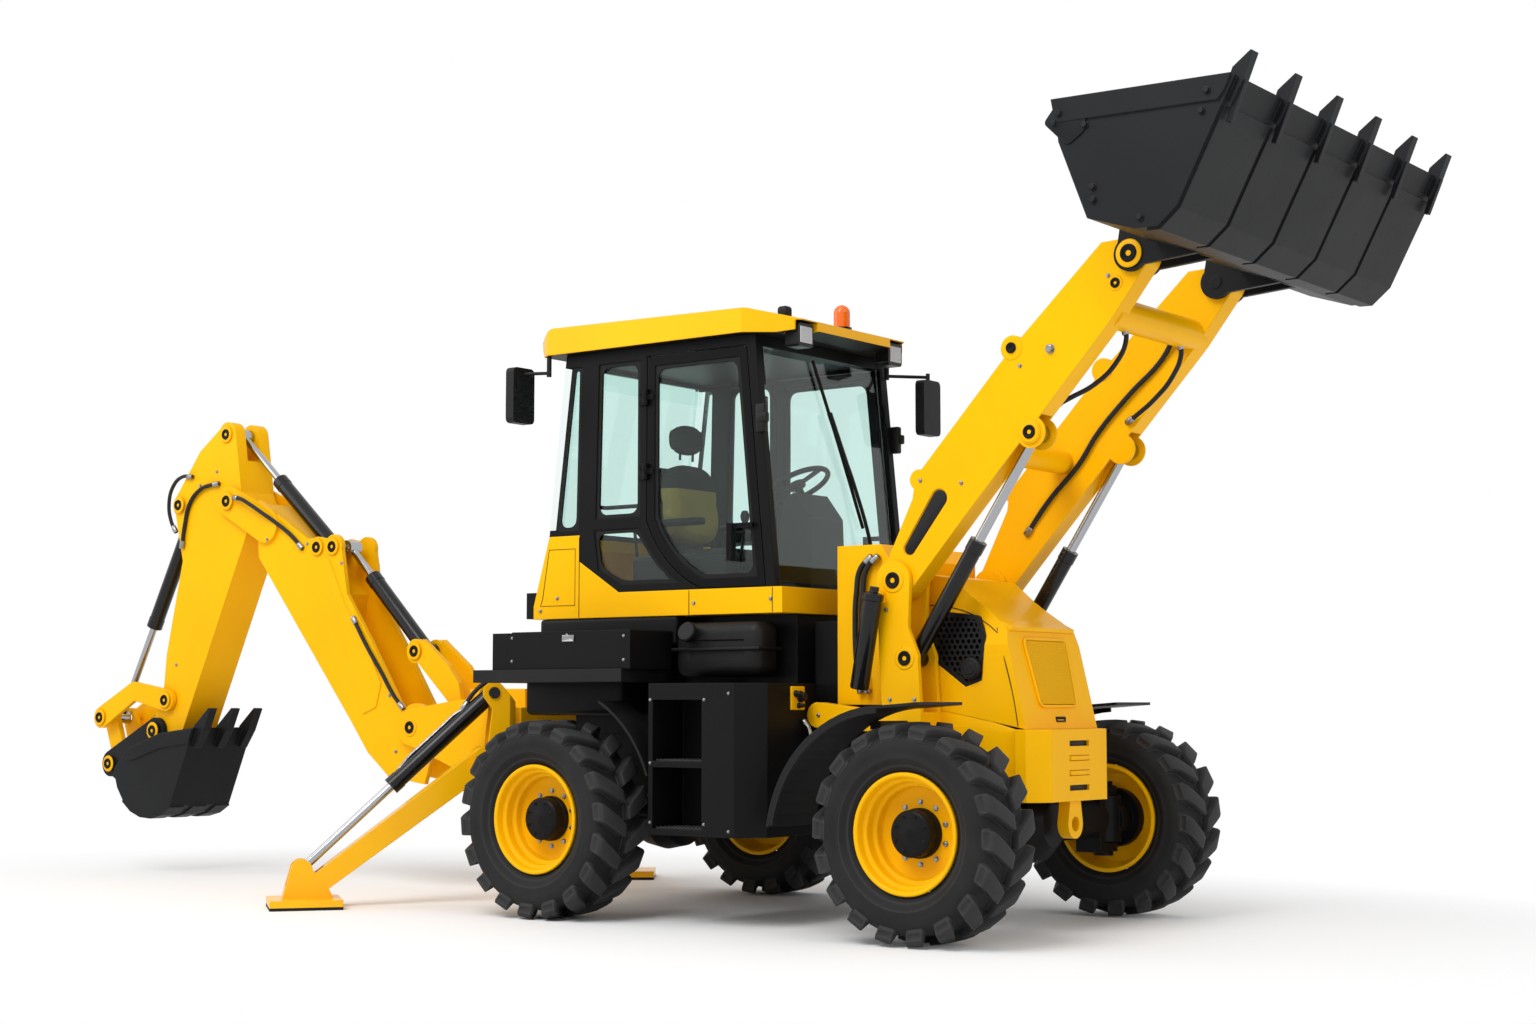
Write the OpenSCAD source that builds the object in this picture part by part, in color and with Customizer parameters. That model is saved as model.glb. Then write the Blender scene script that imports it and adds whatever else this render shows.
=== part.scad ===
// Backhoe loader: front loader, rear digging arm, two stabilisers, cab.
// Inside the modules x runs forward and z up from the centre of the rear axle.

/* [Wheels] */
// Distance between the axles
wheelbase = 2230; // [2150:10:2350]
// Outside diameter of the tyres, to the tips of the lugs
tyre_d = 1000; // [940:10:1040]
// Width of the tyres
tyre_w = 372; // [330:2:390]
// Distance between the tyre centres of one axle
track = 1865; // [1840:5:1940]
// Height of the tread lugs
lug_h = 36; // [24:1:44]
// Number of lugs on each half of a tread
lugs = 18; // [12:1:18]
// Diameter of the rim flange
rim_d = 548; // [520:2:570]
// Diameter of the hub cap
hub_d = 214; // [180:2:230]
// Distance between the kingpins
kingpin_span = 1520; // [1500:5:1540]

/* [Cab] */
// Width of the cab over its side walls
cab_w = 1170; // [1120:10:1200]
// Thickness of the cab walls and doors
cab_wall = 45; // [35:1:55]
// Height of the cab floor above the axles
floor_h = 1030; // [1025:1:1045]
// Height of the roof's underside above the axles
roof_h = 2440; // [2400:10:2500]
// Thickness of the roof
roof_t = 125; // [90:5:150]
// Thickness of the glass
glass_t = 8; // [5:1:10]

/* [Loader] */
// Distance between the middles of the two loader arms
arm_span = 880; // [870:2:890]
// Width of one loader arm
arm_w = 118; // [112:2:122]
// Width of the loader bucket
bucket_w = 2320; // [2200:10:2400]
// Thickness of the loader bucket's plates
bucket_t = 25; // [16:1:30]
// Number of teeth on the loader bucket
bucket_teeth = 6; // [4:1:8]
// Bore of the lift cylinders' barrels, outside
lift_d = 80; // [70:2:82]
// Diameter of the lift rods
lift_rod_d = 48; // [40:2:52]

/* [Digging arm] */
// Width of the digging boom
boom_w = 300; // [280:2:304]
// Thickness of the boom's side plates
boom_t = 30; // [20:1:34]
// Width of the dipper
dipper_w = 270; // [250:2:280]
// Width of the digging bucket
hoe_bucket_w = 480; // [440:10:560]
// Number of teeth on the digging bucket
hoe_teeth = 3; // [3:1:5]
// Diameter of the digging arm's cylinders
hoe_cyl_d = 96; // [80:2:100]
// Diameter of the digging arm's rods
hoe_rod_d = 46; // [36:2:52]
// Diameter of the pivot pins
pin_d = 60; // [50:2:64]

/* [Stabilisers] */
// Width of a stabiliser leg
leg_w = 120; // [100:2:124]
// Size of the square pad
pad_w = 380; // [320:10:400]
// Splay of the legs from straight sideways, in degrees
leg_splay = 38; // [36:1:40]

/* [Hidden] */
$fn = 48;

// Colours
yellow = "gold";
black = [0.10, 0.10, 0.11];
grey = [0.35, 0.35, 0.36];
chrome = [0.80, 0.80, 0.82];
glass = [0.65, 0.85, 0.80, 0.5];

// Place of the rear axle from the middle of the machine's length
rear_x = 395;
axle_z = tyre_d / 2;
fx = wheelbase;
gap = 0.4;
clear = 6;

// Cab stations
cab_side = cab_w / 2;
cab_front = 1190;
cab_back = -470;
sill_h = floor_h + 130;
screen_foot = [1150, sill_h];
screen_head = [1020, roof_h];
back_foot = [-360, floor_h + 440];
back_head = [-245, roof_h];
post_x = -110;
post_w = 70;
door_back = 320;
door_gap = 6;

// Loader stations, from the front axle
arm_y = arm_span / 2;
arm_pivot = [fx - 420, 1170];
lift_foot = [fx - 354, 796];
lift_pin = [fx + 330, 1835];
bucket_pivot = [fx + 870, 2605];
tower_t = 25;
tower_y = arm_y + arm_w / 2 + clear + tower_t / 2;

// Digging arm stations
swing_x = -1340;
swing_low = 155;
swing_high = 615;
boom_foot = [-1800, 443];
boom_cyl_foot = [-1860, 890];
boom_cyl_eye = [-2526, 1533];
dipper_cyl_foot = [-2665, 1535];
dipper_pivot = [-3478, 1859];
dipper_cyl_eye = [-3547, 2293];
bucket_cyl_foot = [-3991, 1863];
tip_pivot = [-4057, 604];
hoe_pivot = [-4158, 407];
link_pin = [-4720, 491];
bucket_pin = [-4604, 190];

// Stabiliser stations, in the leg's own upright plane from its hinge
leg_hinge = [-850, 560, 280];
leg_reach = 950;
pad_foot = [leg_reach, -leg_hinge[2] - axle_z];
leg_end = [leg_reach - 70, pad_foot[1] + 130];
stab_eye = [leg_reach + 20, pad_foot[1] + 200];
stab_foot = [-40, 360];

function unit(v) = v / norm(v);
function along(a, b, d) = a + unit(b - a) * d;

// Shared shapes

module placed() {
    translate([rear_x, 0, axle_z]) children();
}

// A side view outline, t thick, with its middle at y
module side(y, t) {
    translate([0, y + t / 2, 0]) rotate([90, 0, 0]) linear_extrude(t) children();
}

module both_sides() {
    children();
    mirror([0, 1, 0]) children();
}

// How far a link's straight edges start inside its round ends
tuck = 0.05;

// Outline of a flat link with round ends
module strap(a, ra, b, rb) {
    d = b - a;
    turn = atan2(d[1], d[0]);
    lean = acos((ra - rb) / norm(d));
    translate(a) circle(ra);
    translate(b) circle(rb);
    polygon([
        a + (ra - tuck) * [cos(turn + lean), sin(turn + lean)],
        a + (ra - tuck) * [cos(turn - lean), sin(turn - lean)],
        b + (rb - tuck) * [cos(turn - lean), sin(turn - lean)],
        b + (rb - tuck) * [cos(turn + lean), sin(turn + lean)]
    ]);
}

// Points of a rectangle with round corners, from its middle
function round_rect(w, h, r) = [
    for (i = [0:3], a = [0:30:90])
        let (sx = [1, -1, -1, 1][i], sy = [1, 1, -1, -1][i], turn = 90 * i + a)
            [sx * (w / 2 - r) + r * cos(turn), sy * (h / 2 - r) + r * sin(turn)]
];

// Round bar across the machine at a side view point
module cross_bar(p, d, y, t) {
    side(y, t) translate(p) circle(d / 2);
}

// Round bar from one side view point to another, at y
module bar(a, b, d, y) {
    run = b - a;
    translate([a[0], y, a[1]])
        rotate([0, 90 - atan2(run[1], run[0]), 0]) cylinder(d = d, h = norm(run));
}

gland_more = 6;

// Barrel of a cylinder: an eye on its foot pin and a bored tube to its gland
module barrel(foot, eye, length, d, rod_d, y, eye_w, hole_d) {
    gland = along(foot, eye, length);
    difference() {
        union() {
            cross_bar(foot, d, y, eye_w);
            bar(foot, gland, d, y);
            bar(along(foot, eye, length - 60), gland, d + gland_more, y);
        }
        cross_bar(foot, hole_d, y, eye_w + 2);
        bar(along(foot, eye, d * 0.64), along(foot, eye, length + 1), rod_d + 2 * gap, y);
    }
}

// Rod of a cylinder, from inside its barrel to the eye at its pin
module rod(foot, eye, length, inside, d, y, eye_d, eye_w, hole_d) {
    difference() {
        union() {
            bar(along(foot, eye, length - inside), eye, d, y);
            cross_bar(eye, eye_d, y, eye_w);
        }
        cross_bar(eye, hole_d, y, eye_w + 2);
    }
}

// Wheels

tyre_in = rim_d / 2 - 14;
rim_half = 147;
flange_t = 12;
seat_t = 34;
tread_r = tyre_d / 2;
groove_r = tread_r - lug_h;
bead_y = rim_half - seat_t;
pitch = 360 / lugs;

// Rings of the sidewall: radius, distance from the middle
// The inner rings are widened, so that the flats between their points clear the round rim
flat = 1 / cos(90 / lugs);
wall_rings = [
    [flat * tyre_in, bead_y], [flat * (rim_d / 2 + gap), rim_half - flange_t - gap],
    [groove_r - 96, tyre_w / 2]
];
// Rings of the tread: radius in the grooves and on the lugs, distance from the middle,
// then the turn of a lug and half its width, in degrees
tread_rings = [
    [groove_r - 46, groove_r - 34, tyre_w / 2 - 4, 0, 4.6],
    [groove_r - 6, tread_r - 12, tyre_w / 2 - 20, 0, 4.4],
    [groove_r, tread_r, 14, -9, 3.4]
];
lug_slope = 1.3;
wall_n = len(wall_rings);
tread_n = len(tread_rings);
half_points = 2 * lugs * wall_n + 4 * lugs * tread_n;

function on_ring(r, a, y) = [r * cos(a), r * sin(a), y];
// Points of one half; the other half is half a pitch on, so that the lugs alternate
function half_tyre(s) = let (start = s > 0 ? 0 : pitch / 2) concat(
    [for (w = wall_rings, c = [0 : 2 * lugs - 1]) on_ring(w[0], start + pitch * c / 2, s * w[1])],
    [for (w = tread_rings, i = [0 : lugs - 1], e = [[-1, 1], [-1, 0], [1, 0], [1, 1]])
        on_ring(w[1 - e[1]], start + pitch * i + w[3] + e[0] * (w[4] + e[1] * lug_slope), s * w[2])]
);
crown_turn = tread_rings[tread_n - 1][3];
crown = [for (c = [0 : 4 * lugs - 1]) on_ring(groove_r, pitch * (c / 4 - 3 / 8) + crown_turn, 0)];

function at_wall(h, k, c) = h * half_points + k * 2 * lugs + (c + 2 * lugs) % (2 * lugs);
function at_tread(h, k, c) = k == tread_n
    ? 2 * half_points + (c + 2 * h) % (4 * lugs)
    : h * half_points + 2 * lugs * wall_n + k * 4 * lugs + c % (4 * lugs);
function facing(h, f) = h == 1 ? f : [f[2], f[1], f[0]];
function half_faces(h) = concat(
    [for (k = [0 : wall_n - 2], c = [0 : 2 * lugs - 1], f = [
        [at_wall(h, k, c), at_wall(h, k + 1, c), at_wall(h, k + 1, c + 1)],
        [at_wall(h, k, c), at_wall(h, k + 1, c + 1), at_wall(h, k, c + 1)]]) facing(h, f)],
    // From two points a pitch on the sidewall to four on the tread
    [for (i = [0 : lugs - 1], f = [
        [at_wall(h, wall_n - 1, 2 * i), at_tread(h, 0, 4 * i), at_tread(h, 0, 4 * i + 1)],
        [at_wall(h, wall_n - 1, 2 * i), at_tread(h, 0, 4 * i + 1), at_tread(h, 0, 4 * i + 2)],
        [at_wall(h, wall_n - 1, 2 * i), at_tread(h, 0, 4 * i + 2), at_tread(h, 0, 4 * i + 3)],
        [at_wall(h, wall_n - 1, 2 * i), at_tread(h, 0, 4 * i + 3), at_wall(h, wall_n - 1, 2 * i + 1)],
        [at_wall(h, wall_n - 1, 2 * i + 1), at_tread(h, 0, 4 * i + 3), at_tread(h, 0, 4 * i + 4)],
        [at_wall(h, wall_n - 1, 2 * i + 1), at_tread(h, 0, 4 * i + 4), at_wall(h, wall_n - 1, 2 * i + 2)]
    ]) facing(h, f)],
    [for (k = [0 : tread_n - 1], c = [0 : 4 * lugs - 1], f = [
        [at_tread(h, k, c), at_tread(h, k + 1, c), at_tread(h, k + 1, c + 1)],
        [at_tread(h, k, c), at_tread(h, k + 1, c + 1), at_tread(h, k, c + 1)]]) facing(h, f)]
);
bore_faces = [for (c = [0 : 2 * lugs - 1], f = [
    [at_wall(0, 0, c), at_wall(1, 0, c), at_wall(0, 0, c + 1)],
    [at_wall(0, 0, c), at_wall(1, 0, c - 1), at_wall(1, 0, c)]]) f];
// Turn that stands the tyre on a corner of a lug
ground_turn = -90 - crown_turn + tread_rings[tread_n - 1][4];

module tyre(x, s) {
    placed() translate([x, s * track / 2, 0]) rotate([90, 0, 0]) rotate([0, 0, ground_turn]) color(black)
        polyhedron(
            concat(half_tyre(1), half_tyre(-1), crown),
            concat(half_faces(0), half_faces(1), bore_faces)
        );
}

rim_in = tyre_in - gap;
rim_wall = 14;
disc_out = 10;
disc_t = 24;
hub_out = 78;

module rim(x, s) {
    placed() translate([x, s * track / 2, 0]) rotate([-90 * s, 0, 0]) color(yellow) {
        rotate_extrude($fn = 72) polygon([
            [rim_in, -rim_half + seat_t], [rim_d / 2, -rim_half + flange_t], [rim_d / 2, -rim_half],
            [rim_in - rim_wall, -rim_half], [rim_in - rim_wall - 14, -rim_half + 40],
            [rim_in - rim_wall - 14, disc_out - disc_t], [0, disc_out - disc_t],
            [0, hub_out], [hub_d / 2 - 8, hub_out], [hub_d / 2, hub_out - 8], [hub_d / 2, disc_out],
            [rim_in - rim_wall - 30, disc_out], [rim_in - rim_wall, rim_half - 60],
            [rim_in - rim_wall, rim_half], [rim_d / 2, rim_half], [rim_d / 2, rim_half - flange_t],
            [rim_in, rim_half - seat_t]
        ]);
    }
}

// Axles and knuckles

axle_r = 95;
rail_y = 310;
rail_t = 40;
rail_low = 115;
body_half = rail_y + 120;
rail_high = 430;
disc_in = track / 2 + disc_out - disc_t;
yoke_in = 120;
yoke_out = 165;
king_d = 56;
king_y = kingpin_span / 2;

module axle_tube(half, r) {
    rotate([-90, 0, 0]) translate([0, 0, -half]) cylinder(r = r, h = 2 * half);
}

module differential(r, depth) {
    rotate([0, 90, 0]) rotate_extrude() polygon([
        [0, -depth], [r * 0.55, -depth], [r * 0.9, -depth * 0.6], [r, 0], [r * 0.9, depth * 0.6],
        [r * 0.55, depth], [0, depth]
    ]);
}

module saddles() {
    both_sides() translate([-80, rail_y - rail_t / 2, 0]) cube([160, rail_t, rail_low]);
}

module front_axle() {
    placed() translate([fx, 0, 0]) color(black) {
        difference() {
            union() {
                axle_tube(king_y - 110, axle_r);
                differential(190, 148);
                saddles();
                both_sides() for (up = [1, -1]) {
                    translate([-70, king_y - 160, up > 0 ? yoke_in : -yoke_out])
                        cube([140, 160, yoke_out - yoke_in]);
                    translate([0, king_y, up > 0 ? yoke_in : -yoke_out])
                        cylinder(r = 70, h = yoke_out - yoke_in);
                }
                both_sides() translate([-70, king_y - 160, -yoke_out])
                    cube([140, 50, 2 * yoke_out]);
            }
            both_sides() translate([0, king_y, -yoke_out - 1])
                cylinder(d = king_d + 2 * gap, h = 2 * yoke_out + 2);
        }
    }
}

module rear_axle() {
    placed() color(black) {
        axle_tube(disc_in - gap, axle_r);
        differential(200, 180);
        saddles();
        both_sides() rotate([-90, 0, 0]) translate([0, 0, disc_in - 90])
            cylinder(r = 150, h = 90 - gap);
    }
}

module knuckle(s) {
    placed() translate([fx, 0, 0]) color(black)
        mirror([0, s > 0 ? 0 : 1, 0]) {
            translate([0, king_y, -yoke_in + 5]) cylinder(r = 92, h = 2 * yoke_in - 10);
            translate([0, king_y, -yoke_out - 12]) cylinder(d = king_d, h = 2 * yoke_out + 24);
            for (up = [yoke_out + gap, -yoke_out - gap - 22])
                translate([0, king_y, up]) cylinder(d = king_d + 44, h = 22);
            translate([0, king_y, 0]) rotate([-90, 0, 0])
                cylinder(r = 112, h = disc_in - king_y - gap);
            translate([0, disc_in - 50, 0]) rotate([-90, 0, 0]) cylinder(r = 150, h = 50 - gap);
            // Steering arm behind the axle
            translate([-190, king_y - 45, -60]) cube([190, 50, 34]);
        }
}

// Chassis

tower_back = fx - 480;
tank_half = 345;

cowl_back = 1395;
cowl_front = 1700;
cowl_half = 400;
cowl_low = 575;
cowl_top = 1358;
tank_back = cab_front + 30;
tank_low = rail_high - 200;
tank_high = rail_high + 560;
deck_h = 240;

module frame() {
    placed() color(black) {
        both_sides() side(rail_y, rail_t) polygon([
            [rear_end, rail_low], [fx + 150, rail_low], [fx + 150, rail_high - 110],
            [fx - 260, rail_high], [rear_end, rail_high]
        ]);
        for (x = [rear_end, 640, fx - 700])
            translate([x, -rail_y, rail_low + 20]) cube([110, 2 * rail_y, 220]);
        // Body under the cab, which carries it
        translate([-300, -body_half, rail_high]) cube([1520, 2 * body_half, deck_h]);
        translate([-250, -body_half, rail_high + deck_h])
            cube([1420, 2 * body_half, floor_h - rail_high - deck_h]);
        // Tank in front of the cab, with a step that carries the cowl
        translate([0, tank_half, 0]) rotate([90, 0, 0]) linear_extrude(2 * tank_half) polygon([
            [tank_back, tank_low], [tower_back, tank_low],
            [tower_back, cowl_low], [cowl_back - gap, cowl_low],
            [cowl_back - gap, tank_high], [tank_back, tank_high]
        ]);
    }
}

rear_end = -700;
carrier_back = -1130;
carrier_half = 430;
carrier_low = 60;
carrier_high = 560;
lug_t = 50;

module hinge_frame(s) {
    mirror([0, s > 0 ? 0 : 1, 0]) translate(leg_hinge) rotate([0, 0, 90 + leg_splay]) children();
}

ear_in = leg_w / 2 + clear;
ear_t = 26;

module leg_ears() {
    difference() {
        union() {
            for (t = [1, -1]) {
                side(t * (ear_in + ear_t / 2), ear_t) {
                    strap([0, 0], 70, [-230, -20], 70);
                    strap(stab_foot, 60, [-230, 120], 70);
                    polygon([[-230, -90], [0, -20], stab_foot, [-230, 190]]);
                }
            }
            side(0, 2 * ear_in + 2 * ear_t) polygon([[-300, -90], [-200, -90], [-200, 190], [-300, 190]]);
        }
        cross_bar([0, 0], pin_d + 2 * gap, 0, 400);
        cross_bar(stab_foot, pin_d + 2 * gap, 0, 400);
    }
}

module rear_frame() {
    placed() color(yellow) {
        difference() {
            union() {
                translate([carrier_back, -carrier_half, carrier_low])
                    cube([rear_end - carrier_back, 2 * carrier_half, carrier_high - carrier_low]);
                for (z = [swing_low - lug_t - gap, swing_high + gap]) {
                    translate([swing_x, 0, z]) cylinder(r = 120, h = lug_t);
                    translate([swing_x, -120, z]) cube([carrier_back - swing_x + 20, 240, lug_t]);
                }
                translate([carrier_back, -150, carrier_high - 10])
                    cube([200, 300, swing_high + lug_t - carrier_high + 10]);
                both_sides() hinge_frame(1) leg_ears();
            }
            translate([swing_x, 0, 0]) cylinder(d = king_d + 20 + 2 * gap, h = 900);
            // Flat front face, against the frame
            translate([rear_end, -1000, -500]) cube([600, 2000, 2000]);
        }
    }
}

tower_front = fx - 265;
foot_h = 110;

module loader_tower() {
    placed() color(yellow) {
        difference() {
            union() {
                both_sides() for (y = [tower_y, 2 * arm_y - tower_y])
                    side(y, tower_t) {
                        translate(arm_pivot) circle(95);
                        polygon([
                            arm_pivot + [-95, 0], arm_pivot + [-70, -560], [tower_back, rail_high + foot_h],
                            [tower_front, rail_high + foot_h], lift_foot + [75, -30], lift_foot + [70, 25],
                            arm_pivot + [85, -230], arm_pivot + [95, 0]
                        ]);
                        translate(lift_foot) circle(75);
                    }
                // Foot of the towers on the rails
                both_sides() translate([tower_back, rail_y - rail_t / 2, rail_high])
                    cube([tower_front - tower_back, tower_y - rail_y + rail_t / 2 + tower_t / 2, foot_h]);
                translate([tower_back, -rail_y, rail_high + 10]) cube([60, 2 * rail_y, foot_h - 10]);
            }
            both_sides() cross_bar(arm_pivot, pin_d + 2 * gap, arm_y, 400);
            both_sides() cross_bar(lift_foot, pin_d + 2 * gap, arm_y, 400);
        }
        both_sides() {
            // Arm towards the step box, with its boss
            side(arm_y + 40, 70) strap([fx - 460, rail_high + 60], 48, [fx - 877, rail_high + 95], 62);
        }
    }
}

// Hood and front

hood_half = 343;
hood_wall = 20;
hood_low = 460;
hood_skirt = rail_high + foot_h + 5;
nose_foot = [fx + 200, 460];
nose_head = [fx + 85, 940];
hood_top_half = 290;

// Outline of the hood from the side
module hood_outline(inset) {
    polygon([
        [tower_back + gap + inset, hood_skirt - inset], [fx - 250, hood_skirt - inset],
        nose_foot - [inset, inset], nose_head - [inset, inset], [fx - 120 - inset, 1090 - inset],
        [fx - 230, 1185 - inset], [tower_back + gap + inset, 1220 - inset]
    ]);
}

// Outline of the hood from the front
module hood_section(inset) {
    half = hood_half - inset;
    top = hood_top_half - inset;
    polygon([
        [-half, 0], [half, 0], [half, 860], [top, 1040], [top, 1300], [-top, 1300], [-top, 1040],
        [-half, 860]
    ]);
}

module hood_body(inset) {
    intersection() {
        side(0, 2 * hood_half) hood_outline(inset);
        rotate([90, 0, 90]) translate([0, 0, tower_back]) linear_extrude(1000) hood_section(inset);
    }
}

grille_w = 400;

module side_grille_outline() {
    polygon([[fx - 330, 800], [fx - 310, 1030], [fx - 60, 1000], [fx - 20, 900], [fx - 40, 690],
             [fx - 130, 660]]);
}

lip_half = 300;
lip_out = 14;

module hood() {
    placed() color(yellow) {
        difference() {
            union() {
                hood_body(0);
                // Lip of the top panel over the nose
                side(0, 2 * lip_half) polygon([
                    nose_head + [-60, 42], nose_head + [lip_out, 4], nose_head + [lip_out, -lip_out],
                    nose_head + [-60, -10]
                ]);
            }
            hood_body(hood_wall);
            both_sides() side(hood_half, 3 * hood_wall) side_grille_outline();
        }
        // Cowl between the tank and the towers
        side(0, 2 * cowl_half) polygon([
            [cowl_back, cowl_low], [cowl_front, cowl_low], [cowl_front, cowl_top - 70],
            [cowl_front - 45, cowl_top], [cowl_back, cowl_top]
        ]);
    }
}

cell = 22;
cell_step = 31;
row_step = cell_step * cos(30);

// Staggered hexagons around a point, over a field of w by h
module hex_field(centre, w, h) {
    rows = floor(h / row_step / 2);
    cols = floor(w / cell_step / 2);
    for (row = [-rows : rows], col = [-cols : cols])
        translate(centre + [(col + (abs(row) % 2) / 2) * cell_step, row * row_step])
            circle(d = cell, $fn = 6);
}

grille_rim = 22;
cap_at = [fx - 93, 748];
cap_d = 100;
cap_out = 14;

module side_grilles() {
    placed() color(black) both_sides() {
        side(hood_half - hood_wall / 2, hood_wall - 2) difference() {
            side_grille_outline();
            intersection() {
                offset(delta = -grille_rim) side_grille_outline();
                hex_field([fx - 160, 850], 290, 330);
            }
            translate(cap_at) circle(d = cap_d - 10);
        }
        cross_bar(cap_at, cap_d, hood_half, 2 * cap_out);
    }
}

nose_lean = atan2(nose_foot[0] - nose_head[0], nose_head[1] - nose_foot[1]);

grille_h = 330;
grille_taper = 30;

module front_grille() {
    placed() color(yellow) translate([nose_foot[0], 0, nose_foot[1]]) rotate([0, -nose_lean, 0])
        translate([gap, 0, 110]) rotate([90, 0, 90]) linear_extrude(12) difference() {
            polygon([
                [-grille_w / 2 + grille_taper, 0], [grille_w / 2 - grille_taper, 0],
                [grille_w / 2, grille_h],
                [-grille_w / 2, grille_h]
            ]);
            hex_field(
                [0, grille_h / 2],
                grille_w - 2 * (grille_taper + grille_rim), grille_h - 2 * grille_rim
            );
        }
}

bumper_front = 290;
bumper_half = 368;
bumper_face = 268;
bumper_low = rail_low + 5;

module bumper() {
    placed() color(yellow) difference() {
        translate([fx, 0, bumper_low]) linear_extrude(hood_low - bumper_low) polygon([
            [152, -bumper_half], [210, -bumper_half], [bumper_front, -bumper_face],
            [bumper_front, bumper_face], [210, bumper_half], [152, bumper_half]
        ]);
        for (z = [170, 240, 310, 380])
            translate([fx + bumper_front - 18, -95, z]) cube([30, 190, 26]);
    }
}

hook_d = 70;
hook_r = 70;
hook_w = 60;
hook_x = fx + 205;
hook_z = 10;
neck_r = 50;

module tow_hook() {
    placed() color(yellow) difference() {
        translate([hook_x, 0, 0]) rotate([90, 0, 90]) linear_extrude(hook_w)
            strap([0, hook_z], hook_r, [0, bumper_low], neck_r);
        translate([hook_x - 1, 0, hook_z]) rotate([0, 90, 0]) cylinder(d = hook_d, h = hook_w + 2);
        // Flat top, against the bumper
        translate([fx, -hook_r, bumper_low]) cube([400, 2 * hook_r, 100]);
    }
}

engine_half = 250;

module engine_block() {
    placed() color(grey) {
        translate([fx - 410, -engine_half, rail_high - 200]) cube([470, 2 * engine_half, 540]);
        // Feet between the rails
        both_sides() translate([fx - 330, engine_half, rail_high - 140])
            cube([100, rail_y - rail_t / 2 - engine_half, 80]);
    }
}

fender_t = 14;
fender_in = track / 2 - tyre_w / 2 - 10;
fender_out = track / 2 + tyre_w / 2 - 10;

// Arc strip in side view, between two radii and two angles
module arc_strip(c, r, t, from, to) {
    n = 16;
    polygon(concat(
        [for (i = [0:n]) let (a = from + (to - from) * i / n) c + r * [cos(a), sin(a)]],
        [for (i = [n:-1:0]) let (a = from + (to - from) * i / n) c + (r + t) * [cos(a), sin(a)]]
    ));
}

fender_centre = [fx - 100, -80];
fender_r = 640;
fender_tip = 196;
edge_drop = 22;

module front_fenders() {
    placed() color(black) both_sides() {
        side((fender_in + fender_out) / 2, fender_out - fender_in) {
            arc_strip(fender_centre, fender_r, fender_t, 90, 172);
            // Level tip over the tyre
            translate(fender_centre + [-1, fender_r]) polygon([
                [0, 0], [fender_tip, 14], [fender_tip, 14 + fender_t], [0, fender_t]
            ]);
        }
        // Rolled outer edge
        side(fender_out - fender_t / 2 - gap, fender_t)
            arc_strip(fender_centre, fender_r - edge_drop, edge_drop + 3, 93, 171);
        // Stay from the tower's foot
        translate([fx - 400, tower_y + tower_t / 2, rail_high + 30])
            cube([60, fender_in - tower_y - tower_t / 2 + 20, 40]);
    }
}

shelf_low = 690;
shelf_t = 66;
side_y = 950;

module rear_fenders() {
    placed() color(black) both_sides() {
        translate([-560, body_half, shelf_low]) cube([1020, side_y - body_half, shelf_t]);
        side((side_y + fender_in) / 2, side_y - fender_in)
            arc_strip([0, 0], 660, fender_t, 20, 62);
    }
}

vent_d = 70;
vent_w = 110;
vent_h = 140;

module tool_boxes() {
    placed() color(black) both_sides() {
        side((930 + 600) / 2, 330) polygon([
            [-330, shelf_low + shelf_t], [500, shelf_low + shelf_t], [500, 950], [-300, 950], [-330, 930]
        ]);
        translate([-440, 600, shelf_low + shelf_t]) cube([110 - gap, 330, 190]);
        // Vent box on the back of the cab
        difference() {
            translate([cab_back - vent_d - gap, cab_side - 20 - vent_w, floor_h + 5])
                cube([vent_d, vent_w, vent_h]);
            for (z = [20 : 26 : vent_h - 20])
                translate([cab_back - vent_d - 1, cab_side - 10 - vent_w, floor_h + z])
                    cube([14, vent_w - 20, 12]);
        }
    }
}

module step_boxes() {
    placed() color(black) both_sides() difference() {
        translate([0, 0, -60]) linear_extrude(740) polygon([
            [640, body_half], [640, side_y], [1170, side_y], [1290, 840], [1290, body_half]
        ]);
        for (z = [-30, 300])
            translate([665, side_y - 240, z]) cube([310, 260, 300]);
    }
}

// Cab

module cab_base() {
    placed() color(yellow) {
        difference() {
            side(0, cab_w) polygon([
                [cab_back, floor_h], [cab_front, floor_h], [cab_front, sill_h], [130, sill_h],
                [post_x - post_w / 2, back_foot[1] - 140], [post_x - post_w / 2, back_foot[1]], back_foot,
                [cab_back, floor_h + 70]
            ]);
            side(0, cab_w - 2 * cab_wall) polygon([
                [cab_back + 60, floor_h + 40], [cab_front - 50, floor_h + 40], [cab_front - 50, 3000],
                [-290, 3000], [-290, back_foot[1] - 60], [cab_back + 60, floor_h + 100]
            ]);
        }
    }
}

pillar = 60;

// Side view outline of the cab over its base
module cab_outline() {
    polygon([
        back_foot, [post_x - post_w / 2, back_foot[1]], [post_x - post_w / 2, back_foot[1] - 140],
        [130, sill_h], screen_foot, screen_head, back_head
    ]);
}

// Height where the door's straight hinge side ends
door_low = sill_h + 365;
door_turn = 180;

// Lower rear edge of the door, from its hinge side at 0 to its sill at 90
function door_curve(a) = [
    door_back + door_turn * (1 - cos(a) + a / 90), door_low - (door_turn - 0.5) * (sin(a) + a / 90)
];

// Outline of the door, with its rounded lower rear corner
module door_outline() {
    polygon(concat(
        [[door_back, roof_h - pillar]], [for (a = [0:15:90]) door_curve(a)],
        [[screen_foot[0] - pillar - 5, sill_h + 6], [screen_head[0] - pillar + 5, roof_h - pillar]]
    ));
}

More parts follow.
